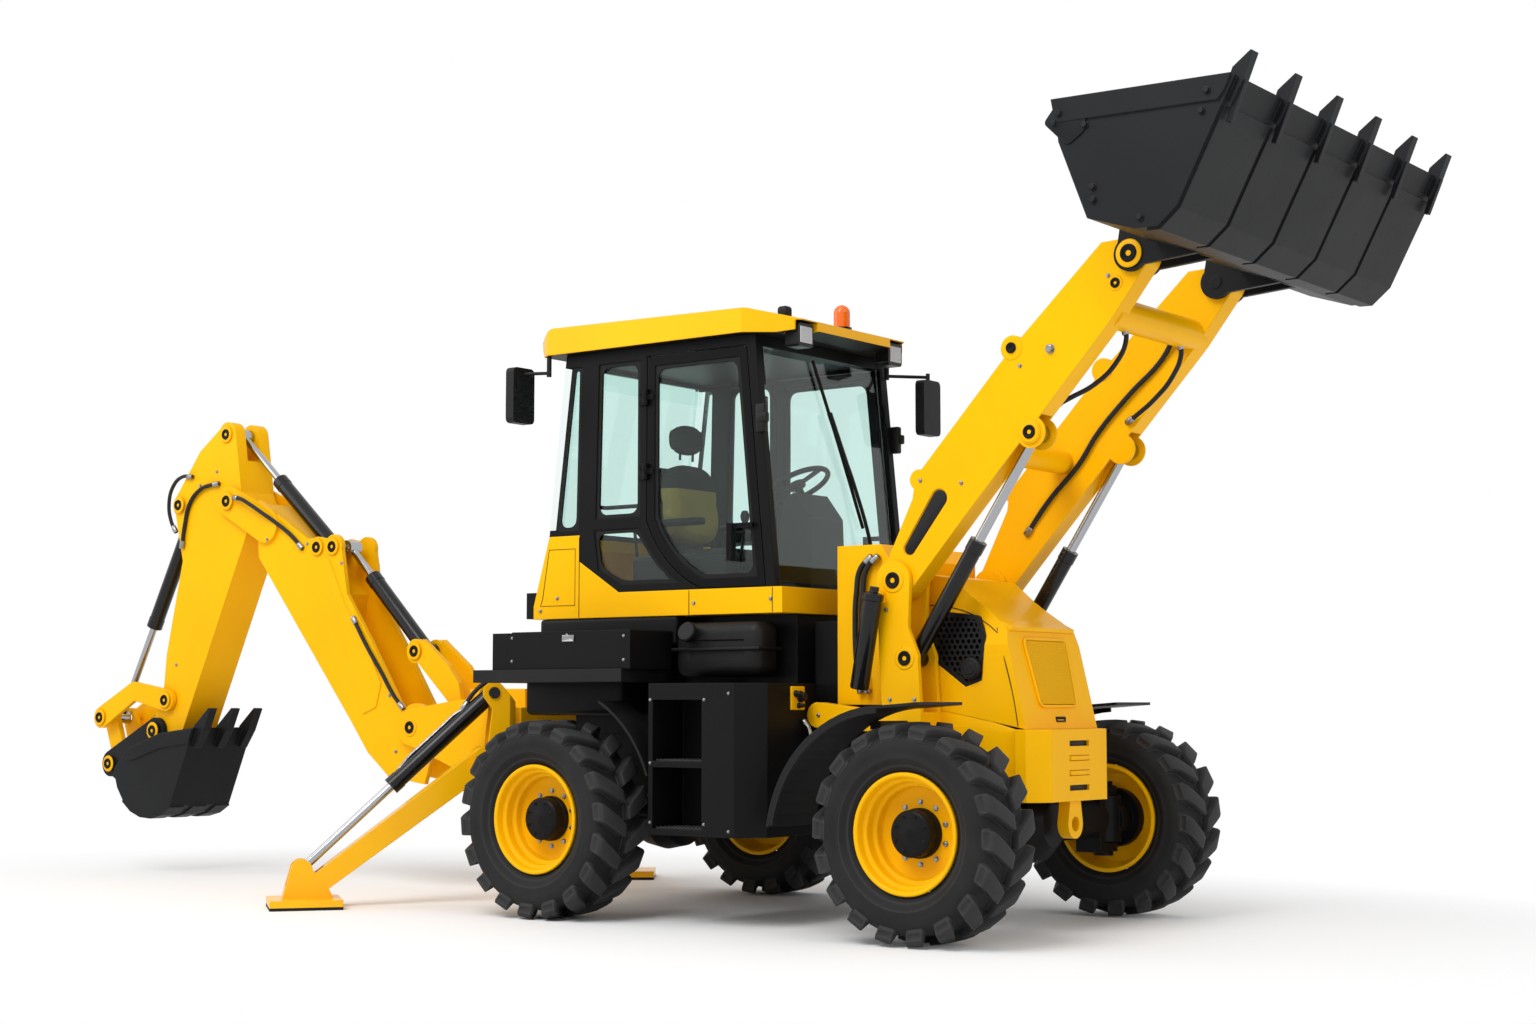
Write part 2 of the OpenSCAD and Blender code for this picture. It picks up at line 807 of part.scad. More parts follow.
module quarter_outline() {
    polygon(concat(
        [[post_x + post_w / 2 + 30, sill_h + 330], [post_x + post_w / 2 + 60, sill_h + 120],
         [140, sill_h + 40]],
        [for (a = [76:-14:20]) door_curve(a) - [70, 0]], [[door_back - 68, sill_h + 330]]
    ));
}

module side_window_outline() {
    polygon([
        [post_x + post_w / 2 + 40, sill_h + 390], [door_back - 50, sill_h + 390],
        [door_back - 50, roof_h - pillar - 10], [post_x + post_w / 2 + 60, roof_h - pillar - 10]
    ]);
}

module rear_window_outline() {
    polygon([
        back_foot + [50, 25], [post_x - post_w / 2 - 10, back_foot[1] + 25],
        [post_x - post_w / 2 + 10, roof_h - pillar - 10], back_head + [45, -pillar - 10]
    ]);
}

// Door hinges: two knuckles on the cab, one with the pin on the door
hinge_z = [for (up = [0.28, 0.705]) door_low + up * (roof_h - door_low)];
hinge_x = door_back - 3;
hinge_d = 28;
hinge_y = cab_side + hinge_d / 2;
hinge_pin_d = 12;
knuckle_h = 28;
leaf = 48;
leaf_t = 10;

module hinge_frame_leaf(z) {
    difference() {
        for (up = [-1, 1]) translate([hinge_x, hinge_y, z + up * (knuckle_h + gap) - knuckle_h / 2]) {
            cylinder(d = hinge_d, h = knuckle_h);
            translate([-leaf, -hinge_d / 2, 0]) cube([leaf, leaf_t, knuckle_h]);
        }
        translate([hinge_x, hinge_y, z - 100]) cylinder(d = hinge_pin_d + 2 * gap, h = 200);
    }
}

module hinge_door_leaf(z) {
    translate([hinge_x, hinge_y, z - knuckle_h / 2]) {
        cylinder(d = hinge_d, h = knuckle_h);
        translate([0, -hinge_d / 2, 0]) cube([leaf, leaf_t, knuckle_h]);
        translate([0, 0, -knuckle_h]) cylinder(d = hinge_pin_d, h = 3 * knuckle_h);
    }
}

module cab_frame() {
    placed() color(black) {
        both_sides() for (z = hinge_z) hinge_frame_leaf(z);
        difference() {
            side(0, cab_w) cab_outline();
            // Inside of the cab
            side(0, cab_w - 2 * cab_wall) polygon([
                back_foot + [60, -1], [post_x, back_foot[1] - 300], [1500, sill_h - 100],
                screen_head + [-60, -45], back_head + [60, -45]
            ]);
            // Windscreen and rear window
            window_cut(600, 900, sill_h + 25);
            window_cut(-600, 400, back_foot[1] + 30);
            both_sides() side(cab_side, 3 * cab_wall) {
                offset(delta = door_gap) door_outline();
                quarter_outline();
                side_window_outline();
                rear_window_outline();
            }
        }
    }
}

// Opening across the cab for the windscreen or the rear window
module window_cut(x, depth, low) {
    half = cab_side - pillar;
    rotate([90, 0, 90]) translate([0, 0, x]) linear_extrude(depth)
        polygon([[-half, low], [half, low], [half, roof_h - pillar], [-half, roof_h - pillar]]);
}

module slanted_pane(foot, head, y_half, low, high) {
    run = unit(head - foot);
    a = foot + run * low;
    b = head - run * high;
    side(0, 2 * y_half) polygon([a, a + [glass_t, 0], b + [glass_t, 0], b]);
}

module cab_glass() {
    placed() color(glass) {
        slanted_pane(screen_foot - [30, 0], screen_head - [30, 0], cab_side - pillar - gap, 26, 61);
        slanted_pane(back_foot + [20, 0], back_head + [20, 0], cab_side - pillar - gap, 32, 62);
        both_sides() side(cab_side - 20, glass_t) {
            offset(delta = -gap) quarter_outline();
            offset(delta = -gap) side_window_outline();
            offset(delta = -gap) rear_window_outline();
        }
    }
}

door_rail = 48;
handle_at = [870, sill_h + 300];
handle_reach = 150;
handle_h = 190;
handle_t = 24;

module door(s) {
    placed() color(black) mirror([0, s > 0 ? 0 : 1, 0]) {
        for (z = hinge_z) hinge_door_leaf(z);
        // Handle
        translate([handle_at[0], cab_side, handle_at[1]]) {
            cube([handle_reach, handle_t, handle_t]);
            translate([0, 0, handle_t - handle_h]) cube([handle_t + 8, handle_t + 16, handle_h]);
        }
        side(cab_side - cab_wall / 2, cab_wall) difference() {
            door_outline();
            offset(delta = -door_rail) door_outline();
        }
    }
}

module door_glass(s) {
    placed() color(glass) mirror([0, s > 0 ? 0 : 1, 0]) side(cab_side - 20, glass_t)
        offset(delta = -door_rail - gap) door_outline();
}

roof_side = cab_side + 60;
lamp_back = 1125;
lamp_y = 406;
lamp_w = 130;
lamp_h = 118;
lamp_d = 82;
lamp_up = 52;

module cab_roof() {
    placed() color(yellow) difference() {
        intersection() {
            side(0, 2 * roof_side) polygon([
                [-420, roof_h + 45], [-390, roof_h + gap], [1120, roof_h + gap], [1230, roof_h + 20],
                [1225, roof_h + 70], [1000, roof_h + roof_t], [-300, roof_h + roof_t + 20],
                [-400, roof_h + roof_t - 20]
            ]);
            linear_extrude(4000) polygon([
                [-430, -roof_side + 70], [-330, -roof_side], [980, -roof_side], [1240, -roof_side + 190],
                [1240, roof_side - 190], [980, roof_side], [-330, roof_side], [-430, roof_side - 70]
            ]);
        }
        translate([-200, -cab_side + 80, roof_h - 1]) cube([1100, cab_w - 160, 50]);
        // Notches for the work lamps
        both_sides() translate([lamp_back, lamp_y - lamp_w / 2 - 12, roof_h - 1])
            cube([300, lamp_w + 24, lamp_up + 12]);
    }
}

module seat() {
    placed() color(black) translate([330, 0, floor_h + 40]) {
        translate([-120, -130, gap]) cube([260, 260, 200 - gap]);
        translate([-220, -240, 200]) cube([480, 480, 130]);
        side(0, 460) polygon([[-260, 330], [-120, 330], [-170, 830], [-270, 830]]);
        side(0, 260) polygon([[-270, 830 - 1], [-180, 830 - 1], [-190, 1060], [-270, 1060]]);
    }
}

module console() {
    placed() color(black) {
        translate([0, 0, floor_h + 40 + gap]) side(0, 300) polygon([
            [800, 0], [1060, 0], [1040, 470], [940, 600], [870, 560]
        ]);
        translate([890, 0, floor_h + 620]) rotate([0, -28, 0]) {
            translate([0, 0, -80]) cylinder(d = 44, h = 160);
            translate([0, 0, 80]) rotate_extrude() translate([175, 0]) circle(d = 28);
            translate([0, 0, 68]) cylinder(d = 90, h = 26);
            for (a = [0, 120, 240])
                rotate([0, 0, a]) translate([0, -16, 74]) cube([175, 32, 12]);
        }
    }
}

module lamps() {
    placed() color(grey) {
        both_sides() translate([lamp_back + gap, lamp_y, roof_h + lamp_up - lamp_h / 2])
            rotate([90, 0, 90]) linear_extrude(lamp_d) polygon(round_rect(lamp_w, lamp_h, 20));
        both_sides() translate([-448.4, 480, roof_h + 50]) cube([30, 70, 50]);
    }
}

module beacon() {
    placed() color("darkorange") translate([880, 380, roof_h + roof_t + 2.8]) {
        rotate_extrude() polygon(concat(
            [[0, 0], [55, 0], [55, 40], [45, 40]],
            [for (a = [0:15:75]) [45 * cos(a), 120 + 45 * sin(a)]], [[0, 165]]
        ));
    }
}

strut_d = 26;
stay_d = 18;
hanger_d = 22;

// Mirror head on a bent stay, with an upright to the roof's underside
module mirror_set(head, top) {
    stay_z = roof_h - 90;
    run = top - [head[0], head[1]];
    translate(head) rotate([90, 0, 90]) linear_extrude(56, center = true) polygon(round_rect(165, 300, 26));
    translate([head[0], head[1], head[2] + 140]) cylinder(d = hanger_d, h = stay_z - head[2] - 120);
    translate([head[0], head[1], stay_z]) rotate([0, 90, atan2(run[1], run[0])])
        cylinder(d = stay_d, h = norm(run));
    translate([top[0], top[1], stay_z - 20]) cylinder(d = strut_d, h = roof_h + gap - stay_z + 20);
}

module mirrors() {
    placed() color(black) {
        mirror_set([-485, -690, 2230], [-340, -620]);
        mirror_set([1205, 730, 2180], [1050, 560]);
    }
}

// Loader

fork_t = 10;
fork_turn = -120;
recess_t = 8;
boss_t = 12;
boss_d = 110;

module loader_arms() {
    placed() color(yellow) {
        difference() {
            union() {
                both_sides() side(arm_y, arm_w) {
                    translate(arm_pivot) circle(90);
                    translate(bucket_pivot) circle(85);
                    polygon([
                        arm_pivot + [-85, 30], arm_pivot + [-70, -50], arm_pivot + [70, -60],
                        arm_pivot + [385, 290], arm_pivot + [1170, 1145], bucket_pivot + [75, -40],
                        bucket_pivot + [20, 82], bucket_pivot + [-160, 75], arm_pivot + [620, 1036],
                        arm_pivot + [110, 490], arm_pivot + [95, 390]
                    ]);
                    translate(lift_pin) circle(75);
                    translate(arm_pivot + [130, 480]) circle(50);
                }
                cross_bar(arm_pivot + [1130, 1200], 150, 0, arm_span);
                cross_bar(arm_pivot + [420, 620], 120, 0, arm_span);
            }
            both_sides() cross_bar(arm_pivot, pin_d + 2 * gap, arm_y, 300);
            both_sides() cross_bar(bucket_pivot, pin_d + 2 * gap, arm_y, 300);
            // Fork for the lift rods' eyes and the barrels' ends
            both_sides() side(arm_y, arm_w - 2 * fork_t)
                strap(lift_pin, 96, lift_pin + 320 * [cos(fork_turn), sin(fork_turn)], 82);
            // Long recess on the outer side
            both_sides() side(arm_y + arm_w / 2, 2 * recess_t)
                strap(arm_pivot + [75, 150], 34, arm_pivot + [245, 385], 46);
        }
        // Bosses of the bucket and lift pins
        both_sides() difference() {
            side(arm_y + arm_w / 2 + boss_t / 2, boss_t) translate(lift_pin) circle(boss_d / 2);
            cross_bar(lift_pin, pin_d - 8, arm_y, 400);
        }
        both_sides() cross_bar(arm_pivot, pin_d, arm_y, arm_w + 2 * (clear + tower_t));
    }
}

lift_barrel_len = 660;
lift_in = 70;

module lift_barrels() {
    placed() color(black) both_sides() {
        barrel(lift_foot, lift_pin, lift_barrel_len, lift_d, lift_rod_d, arm_y, arm_w, pin_d - 10);
        cross_bar(lift_foot, pin_d, arm_y, arm_w + 2 * (clear + tower_t));
    }
}

module lift_rods() {
    placed() color(chrome) both_sides()
        rod(
            lift_foot, lift_pin, lift_barrel_len, lift_in, lift_rod_d, arm_y, 88,
            arm_w - 2 * fork_t - 2 * clear, pin_d - 8
        );
}

// Side view outline of the loader bucket
lip = [fx + 1690, 3150];
heel = [fx + 1330, 2565];
rim_back = [fx + 845, 3170];
ear_gap = 6;
wear_plates = 5;
wear_gap = 34;
wear_t = 12;
tooth_w = 56;

module bucket_outline(inset) {
    polygon([
        rim_back + [inset, inset], [fx + 865 + inset, 2990], [fx + 1000 + inset / 2, 2640 + inset],
        [fx + 1220, 2568 + inset], heel + [-inset / 2, inset], [fx + 1420 - inset, 2640],
        lip + [-inset, inset]
    ]);
}

module loader_bucket() {
    placed() color(black) {
        difference() {
            side(0, bucket_w) bucket_outline(0);
            side(0, bucket_w - 2 * bucket_t) bucket_outline(bucket_t);
        }
        // Ears on the back, on both sides of each arm
        both_sides() for (t = [1, -1])
            difference() {
                side(arm_y + t * (arm_w / 2 + ear_gap + 14), 28) {
                    translate(bucket_pivot) circle(80);
                    polygon([
                        bucket_pivot + [-60, 50], bucket_pivot + [60, -55], [fx + 1200, 2569],
                        [fx + 1005, 2645], [fx + 868, 2990]
                    ]);
                }
                cross_bar(bucket_pivot, pin_d - 2, arm_y, 400);
            }
        both_sides() cross_bar(bucket_pivot, pin_d, arm_y, arm_w + 2 * ear_gap + 70);
        // Wear plates under the floor
        for (i = [0 : wear_plates - 1])
            side(-bucket_w / 2 + bucket_w * (i + 0.5) / wear_plates, bucket_w / wear_plates - wear_gap)
                difference() {
                    intersection() {
                        offset(delta = wear_t) bucket_outline(0);
                        polygon([
                            [fx + 1235, 2500], lip + [250, -650], lip + [250, -120], lip + [-120, -120]
                        ]);
                    }
                    bucket_outline(1);
                }
        // Rails on the side plates
        both_sides() side(bucket_w / 2 + wear_t / 2 - 1, wear_t) polygon([
            rim_back + [-10, 10], rim_back + [10, -95], lip + [-75, -95], lip + [-45, -60], lip + [-12, 8]
        ]);
        // Teeth along the cutting edge, each on a shank
        for (i = [0 : bucket_teeth - 1])
            translate([0, -bucket_w / 2 + tooth_w + (bucket_w - 2 * tooth_w) * i / (bucket_teeth - 1), 0]) {
                side(0, tooth_w) polygon([
                    lip + [-62, -60], lip + [-30, -112], lip + [22, -20],
                    lip + [70, 95], lip + [60, 100], lip + [-22, 40]
                ]);
                side(0, tooth_w / 2) polygon([
                    lip + [-62, -180], lip + [-40, -185], lip + [30, -20], lip + [0, 0]
                ]);
            }
    }
}

// Digging arm

module swing_post() {
    ear_y = boom_w / 2 + clear + 20;
    placed() color(yellow) {
        difference() {
            union() {
                translate([swing_x, 0, swing_low]) cylinder(r = 95, h = swing_high - swing_low);
                both_sides() side(ear_y, 40) {
                    translate(boom_foot) circle(105);
                    polygon([
                        boom_foot + [0, -105],
                        [swing_x - 20, swing_low + 30], [swing_x + 70, swing_low + 30],
                        [swing_x + 70, swing_high - 20], [swing_x - 60, swing_high - 10],
                        boom_foot + [-20, 103]
                    ]);
                }
                translate([swing_x - 20, -ear_y, swing_low + 30])
                    cube([90, 2 * ear_y, swing_high - swing_low - 60]);
                // Horns that carry the boom cylinder
                both_sides() side(82, 36) {
                    translate(boom_cyl_foot) circle(72);
                    polygon([
                        [swing_x - 30, swing_high - 200], [swing_x - 30, swing_high - 12],
                        [swing_x - 140, swing_high - 12], [swing_x - 165, swing_high + 85],
                        [swing_x - 250, swing_high + 190],
                        boom_cyl_foot + [60, 70], boom_cyl_foot + [20, -68],
                        [swing_x - 250, swing_high - 20]
                    ]);
                }
            }
            translate([swing_x, 0, 0]) cylinder(d = king_d + 20 + 2 * gap, h = 900);
            cross_bar(boom_foot, pin_d + 2 * gap, 0, 800);
            cross_bar(boom_cyl_foot, pin_d + 2 * gap, 0, 800);
        }
        translate([swing_x, 0, swing_low - lug_t - 20])
            cylinder(d = king_d + 20, h = swing_high - swing_low + 2 * lug_t + 40);
    }
}

boom_in = boom_w / 2 - boom_t;
doubler_t = 8;
dipper_room = 264;

module boom_outline() {
    translate(boom_foot) circle(140);
    translate(boom_cyl_eye) circle(75);
    translate(dipper_cyl_foot) circle(65);
    polygon([
        boom_foot + [80, -330], boom_foot + [-220, -290], boom_foot + [-400, -150], [-2344, 473],
        [-3288, 1592], dipper_pivot + [-40, -60], dipper_pivot + [40, 90], dipper_pivot + [256, 2],
        [-2760, 1590], dipper_cyl_foot + [0, 60], boom_cyl_eye + [60, 45], [-2400, 1240],
        [-2190, 960], boom_foot + [-130, 140], boom_foot + [150, -120]
    ]);
}

module hoe_boom() {
    placed() color(yellow) {
        difference() {
            union() {
                both_sides() side(boom_w / 2 - boom_t / 2, boom_t) boom_outline();
                // Web along the lower edge, and the closed upper half
                side(0, 2 * boom_in + 2) {
                    polygon([
                        boom_foot + [-220, -290], boom_foot + [-400, -150], [-2344, 473],
                        [-3288, 1592], [-3240, 1592], [-2300, 480], boom_foot + [-350, -130],
                        boom_foot + [-200, -240]
                    ]);
                    polygon([
                        [-2560, 800], [-3240, 1600], dipper_pivot + [256, -20], [-2800, 1550], [-2500, 1250]
                    ]);
                }
            }
            cross_bar(boom_foot, pin_d - 2, 0, 800);
            // Room for the dipper to turn, and for its front edge when it is drawn in
            cross_bar(dipper_pivot, 2 * dipper_room, 0, boom_w + 1);
            side(0, boom_w + 1) translate(dipper_pivot)
                polygon([[-300, -10], [dipper_room - 20, -10], [dipper_room + 16, -450], [-300, -450]]);
            cross_bar(dipper_cyl_foot, pin_d + 2 * gap, 0, 800);
        }
        both_sides() cross_bar(boom_foot, pin_d, boom_w / 2 + 8, 76);
        // Doubler plates on the sides
        both_sides() side(boom_w / 2 + doubler_t / 2 - 1, doubler_t) polygon([
            boom_cyl_eye + [-95, -40], boom_cyl_eye + [-30, -75], [-2420, 1190], [-2215, 930], [-2090, 700],
            [-2130, 560], [-2240, 520]
        ]);
        both_sides() cross_bar(boom_cyl_eye, pin_d + 30, boom_w / 2 + 5, 10);
        // Ears that carry the dipper
        both_sides() side(boom_w / 2 + 12, 24) difference() {
            strap(dipper_pivot, 95, [-3130, 1690], 110);
            translate(dipper_pivot) circle(d = pin_d + 2 * gap);
        }
    }
}

boom_cyl_len = 660;
boom_rod_in = 420;

module boom_barrel() {
    placed() color(black) {
        barrel(boom_cyl_foot, boom_cyl_eye, boom_cyl_len, hoe_cyl_d, hoe_rod_d, 0, 100, pin_d - 10);
        cross_bar(boom_cyl_foot, pin_d, 0, 220);
    }
}

module boom_rod() {
    placed() color(chrome)
        rod(boom_cyl_foot, boom_cyl_eye, boom_cyl_len, boom_rod_in, hoe_rod_d, 0, 90, 90, pin_d - 8);
}

module hoe_dipper() {
    placed() color(yellow) {
        difference() {
            side(0, dipper_w) {
                translate(dipper_cyl_eye) circle(80);
                translate(bucket_cyl_foot) circle(75);
                translate(tip_pivot) circle(75);
                translate(hoe_pivot) circle(90);
                polygon([
                    dipper_cyl_eye + [-70, 40], [-3810, 2200], bucket_cyl_foot + [-60, 40],
                    bucket_cyl_foot + [-50, -55], [-3960, 1500], [-4100, 900], tip_pivot + [-70, 20],
                    hoe_pivot + [-85, 20], hoe_pivot + [40, -85], [-3960, 340],
                    [-3302, 1735], dipper_pivot + [75, 60], dipper_cyl_eye + [80, 10]
                ]);
            }
            // Fork for the dipper rod's eye and pocket for the bucket barrel
            cross_bar(dipper_cyl_eye, 400, 0, 110);
            cross_bar(bucket_cyl_foot + [-40, -60], 290, 0, 120);
            cross_bar(dipper_pivot, pin_d - 2, 0, 800);
            cross_bar(bucket_cyl_foot, pin_d + 2 * gap, 0, 800);
            cross_bar(tip_pivot, pin_d + 2 * gap, 0, 800);
            cross_bar(hoe_pivot, pin_d + 2 * gap, 0, 800);
        }
        cross_bar(dipper_pivot, pin_d, 0, boom_w + 80);
        both_sides() cross_bar(dipper_cyl_eye, pin_d + 30, dipper_w / 2 + 5, 10);
    }
}

dipper_barrel_len = 690;
dipper_rod_in = 220;

module dipper_barrel() {
    placed() color(black) {
        barrel(
            dipper_cyl_foot, dipper_cyl_eye, dipper_barrel_len, hoe_cyl_d, hoe_rod_d, 0, 100, pin_d - 10
        );
        cross_bar(dipper_cyl_foot, pin_d, 0, boom_w + 20);
    }
}

module dipper_rod() {
    placed() color(chrome)
        rod(
            dipper_cyl_foot, dipper_cyl_eye, dipper_barrel_len, dipper_rod_in, hoe_rod_d, 0, 90, 90,
            pin_d - 8
        );
}

hoe_t = 24;
hoe_lip = [-3690, 430];
bucket_ear_y = dipper_w / 2 + clear + 16;

// Curved floor of the digging bucket at some distance outside it
function hoe_floor(a, out) = [-4130, 190] + (350 + out) * [cos(a), 0.95 * sin(a)];

module arc_band() {
    polygon(concat(
        [for (a = [224:17:309]) hoe_floor(a, wear_t)], [for (a = [309:-17:224]) hoe_floor(a, -2)]
    ));
}

module hoe_bucket_outline(inset) {
    polygon(concat(
        [hoe_lip + [-inset, inset * 1.2], [-4020, 395], [-4330, 300], [-4480, 160]],
        [for (a = [190:17:310]) hoe_floor(a, -inset)]
    ));
}

module hoe_bucket() {
    placed() color(black) {
        difference() {
            side(0, hoe_bucket_w) hoe_bucket_outline(0);
            side(0, hoe_bucket_w - 2 * hoe_t) polygon(concat(
                [hoe_lip + [-5, 100], [-4330, 500], [-4330, 260]],
                [for (a = [190:17:310]) hoe_floor(a, -hoe_t)],
                [hoe_lip + [-30, -20]]
            ));
        }
        both_sides() difference() {
            side(bucket_ear_y, 32) {
                strap(hoe_pivot, 85, bucket_pin, 85);
                polygon([hoe_pivot + [60, -30], bucket_pin + [-20, -60], [-4400, 10], [-4100, 200]]);
            }
            cross_bar(hoe_pivot, pin_d - 2, 0, 800);
            cross_bar(bucket_pin, pin_d + 2 * gap, 0, 800);
        }
        cross_bar(hoe_pivot, pin_d, 0, 2 * bucket_ear_y + 70);
        // Side cutters and wear bands
        both_sides() side(hoe_bucket_w / 2 + wear_t / 2 - 1, wear_t) polygon([
            hoe_lip + [-4, -6], [-4020, 386], [-4330, 290], [-4380, 240], [-4300, 215], [-4010, 300],
            hoe_lip + [-40, -95]
        ]);
        for (i = [0 : hoe_teeth - 1])
            side((i / (hoe_teeth - 1) - 0.5) * (hoe_bucket_w - 2 * tooth_w), 2 * tooth_w) arc_band();
        for (i = [0 : hoe_teeth - 1])
            side((i / (hoe_teeth - 1) - 0.5) * (hoe_bucket_w - 2 * tooth_w), tooth_w) polygon([
                hoe_lip + [-95, -110], hoe_lip + [-20, -130], hoe_lip + [60, -20], hoe_lip + [125, 120],
                hoe_lip + [105, 124], hoe_lip + [-30, 10]
            ]);
    }
}

bucket_barrel_len = 880;
bucket_rod_in = 185;

module bucket_barrel() {
    placed() color(black) {
        barrel(bucket_cyl_foot, link_pin, bucket_barrel_len, hoe_cyl_d, hoe_rod_d, 0, 108, pin_d - 10);
        cross_bar(bucket_cyl_foot, pin_d, 0, dipper_w + 40);
    }
}

module bucket_rod() {
    placed() color(chrome)
        rod(bucket_cyl_foot, link_pin, bucket_barrel_len, bucket_rod_in, hoe_rod_d, 0, 84, 84, pin_d - 8);
}

tip_y = dipper_w / 2 + clear + 15;

module tipping_link() {
    placed() color(yellow) {
        both_sides() difference() {
            side(tip_y, 30) {
                strap(tip_pivot, 70, tip_pivot + [-330, 60], 60);
                strap(tip_pivot + [-330, 60], 60, link_pin, 70);
            }
            cross_bar(tip_pivot, pin_d - 2, 0, 800);
            cross_bar(link_pin, pin_d - 2, 0, 800);
        }
        cross_bar(tip_pivot, pin_d, 0, 2 * tip_y + 50);
        both_sides() cross_bar(link_pin, pin_d, tip_y - 8, 66);
    }
}

module bucket_link() {
    placed() color(yellow) {
        both_sides() difference() {
            side(75, 36) strap(link_pin, 62, bucket_pin, 62);
            cross_bar(link_pin, pin_d + 2 * gap, 0, 800);
            cross_bar(bucket_pin, pin_d - 2, 0, 800);
        }
        cross_bar(bucket_pin, pin_d, 0, 2 * bucket_ear_y + 70);
    }
}

// Stabilisers

module stabiliser(s) {
    placed() color(yellow) hinge_frame(s) {
        difference() {
            union() {
                // Leg and foot, with the pad under them
                side(0, leg_w) {
                    strap([0, 0], 68, leg_end, 54);
                    translate(stab_eye) circle(58);
                    polygon([
                        stab_eye + [-58, 0], stab_eye + [58, 0],
                        pad_foot + [120, 50], pad_foot + [-150, 50],
                        leg_end + [-40, 0]
                    ]);
                }
                translate([pad_foot[0] - pad_w / 2, -pad_w / 2, pad_foot[1]]) cube([pad_w, pad_w, 52]);
            }
            cross_bar([0, 0], pin_d - 2, 0, 400);
            side(0, leg_w - 52) translate(stab_eye) circle(120);
        }
        cross_bar([0, 0], pin_d, 0, 2 * (ear_in + ear_t) + 20);
    }
}

stab_barrel_len = 740;
stab_rod_in = 150;
stab_d = 92;
stab_rod_d = 48;

module stab_barrel(s) {
    placed() color(black) hinge_frame(s) {
        barrel(stab_foot, stab_eye, stab_barrel_len, stab_d, stab_rod_d, 0, leg_w - 10, pin_d - 10);
        cross_bar(stab_foot, pin_d, 0, 2 * (ear_in + ear_t) + 20);
    }
}

module stab_rod(s) {
    placed() color(chrome) hinge_frame(s)
        rod(stab_foot, stab_eye, stab_barrel_len, stab_rod_in, stab_rod_d, 0, 80, leg_w - 62, pin_d - 8);
}

frame();
rear_frame();
loader_tower();
hood();
side_grilles();
front_grille();
bumper();
tow_hook();
engine_block();
front_axle();
rear_axle();
front_fenders();
rear_fenders();
tool_boxes();
step_boxes();
cab_base();
cab_frame();
cab_roof();
cab_glass();
seat();
console();
lamps();
beacon();
mirrors();
door(-1);  // door_right
door(1);  // door_left
door_glass(-1);  // door_glass_right
door_glass(1);  // door_glass_left
knuckle(-1);  // knuckle_right
knuckle(1);  // knuckle_left
tyre(fx, -1);  // tyre_front_right
tyre(fx, 1);  // tyre_front_left
tyre(0, -1);  // tyre_rear_right
tyre(0, 1);  // tyre_rear_left
rim(fx, -1);  // rim_front_right
rim(fx, 1);  // rim_front_left
rim(0, -1);  // rim_rear_right
rim(0, 1);  // rim_rear_left
loader_arms();
loader_bucket();
lift_barrels();
lift_rods();
swing_post();
hoe_boom();
boom_barrel();
boom_rod();
hoe_dipper();
dipper_barrel();
dipper_rod();
hoe_bucket();
bucket_barrel();
bucket_rod();
tipping_link();
bucket_link();
stabiliser(-1);  // stabiliser_right
stabiliser(1);  // stabiliser_left
stab_barrel(-1);  // stab_barrel_right
stab_barrel(1);  // stab_barrel_left
stab_rod(-1);  // stab_rod_right
stab_rod(1);  // stab_rod_left
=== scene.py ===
import math
import random

import bpy
from mathutils import Matrix, Vector
from mathutils.bvhtree import BVHTree


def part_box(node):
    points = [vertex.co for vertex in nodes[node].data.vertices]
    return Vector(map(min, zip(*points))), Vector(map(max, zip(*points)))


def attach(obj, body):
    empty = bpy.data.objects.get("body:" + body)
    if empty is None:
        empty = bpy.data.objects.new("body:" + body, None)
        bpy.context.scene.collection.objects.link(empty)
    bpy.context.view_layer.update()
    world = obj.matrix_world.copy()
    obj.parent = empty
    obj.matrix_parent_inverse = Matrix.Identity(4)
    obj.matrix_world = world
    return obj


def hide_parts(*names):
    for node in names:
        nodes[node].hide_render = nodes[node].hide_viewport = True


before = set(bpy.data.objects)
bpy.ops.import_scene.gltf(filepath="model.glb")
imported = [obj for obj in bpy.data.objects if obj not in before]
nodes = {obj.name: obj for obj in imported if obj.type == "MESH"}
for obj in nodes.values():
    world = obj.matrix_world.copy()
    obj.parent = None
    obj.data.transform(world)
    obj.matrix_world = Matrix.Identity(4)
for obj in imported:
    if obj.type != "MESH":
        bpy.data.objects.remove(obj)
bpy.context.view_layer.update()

rng = random.Random(7)
print("frame loaded:", len(nodes), "nodes")

axleLow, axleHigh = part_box("rear_axle")
rearX = (axleLow.x + axleHigh.x) / 2      # the rear axle's place along the machine
wheelLow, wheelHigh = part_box("tyre_front_right")
tyreR = (wheelHigh.z - wheelLow.z) / 2
frontX = (wheelLow.x + wheelHigh.x) / 2


bothSides = ((-1, "Right"), (1, "Left"))


def at(x, y, z):                          # a place measured from the rear axle, on the ground
    return Vector((rearX + x, y, z))


def mirrored(points, side):               # places of the left side, on either side
    return [(x, side * y, z) for x, y, z in points]


# Camera and light

cameraSet = {"place": (7.858, -9.606, 1.079), "target": (0.665, 0.0, 2.093), "lens": 53.26, "sensor": 36.0}
lightSet = {
    "world": 0.56,
    "key": {"place": (1.0, -8.0, 9.5), "size": 7.0, "power": 800},
    "front": {"place": (9.5, -2.0, 5.0), "size": 6.0, "power": 120},
    "rear": {"place": (-7.5, -5.0, 6.0), "size": 6.0, "power": 150},
}
floorSet = {"size": 80.0, "colour": (0.95, 0.95, 0.95), "centre": -0.3, "squeeze": (0.55, 0.85), "fade": (1.5, 3.4)}


def look(obj, target):
    obj.rotation_euler = (target - obj.location).to_track_quat("-Z", "Y").to_euler()


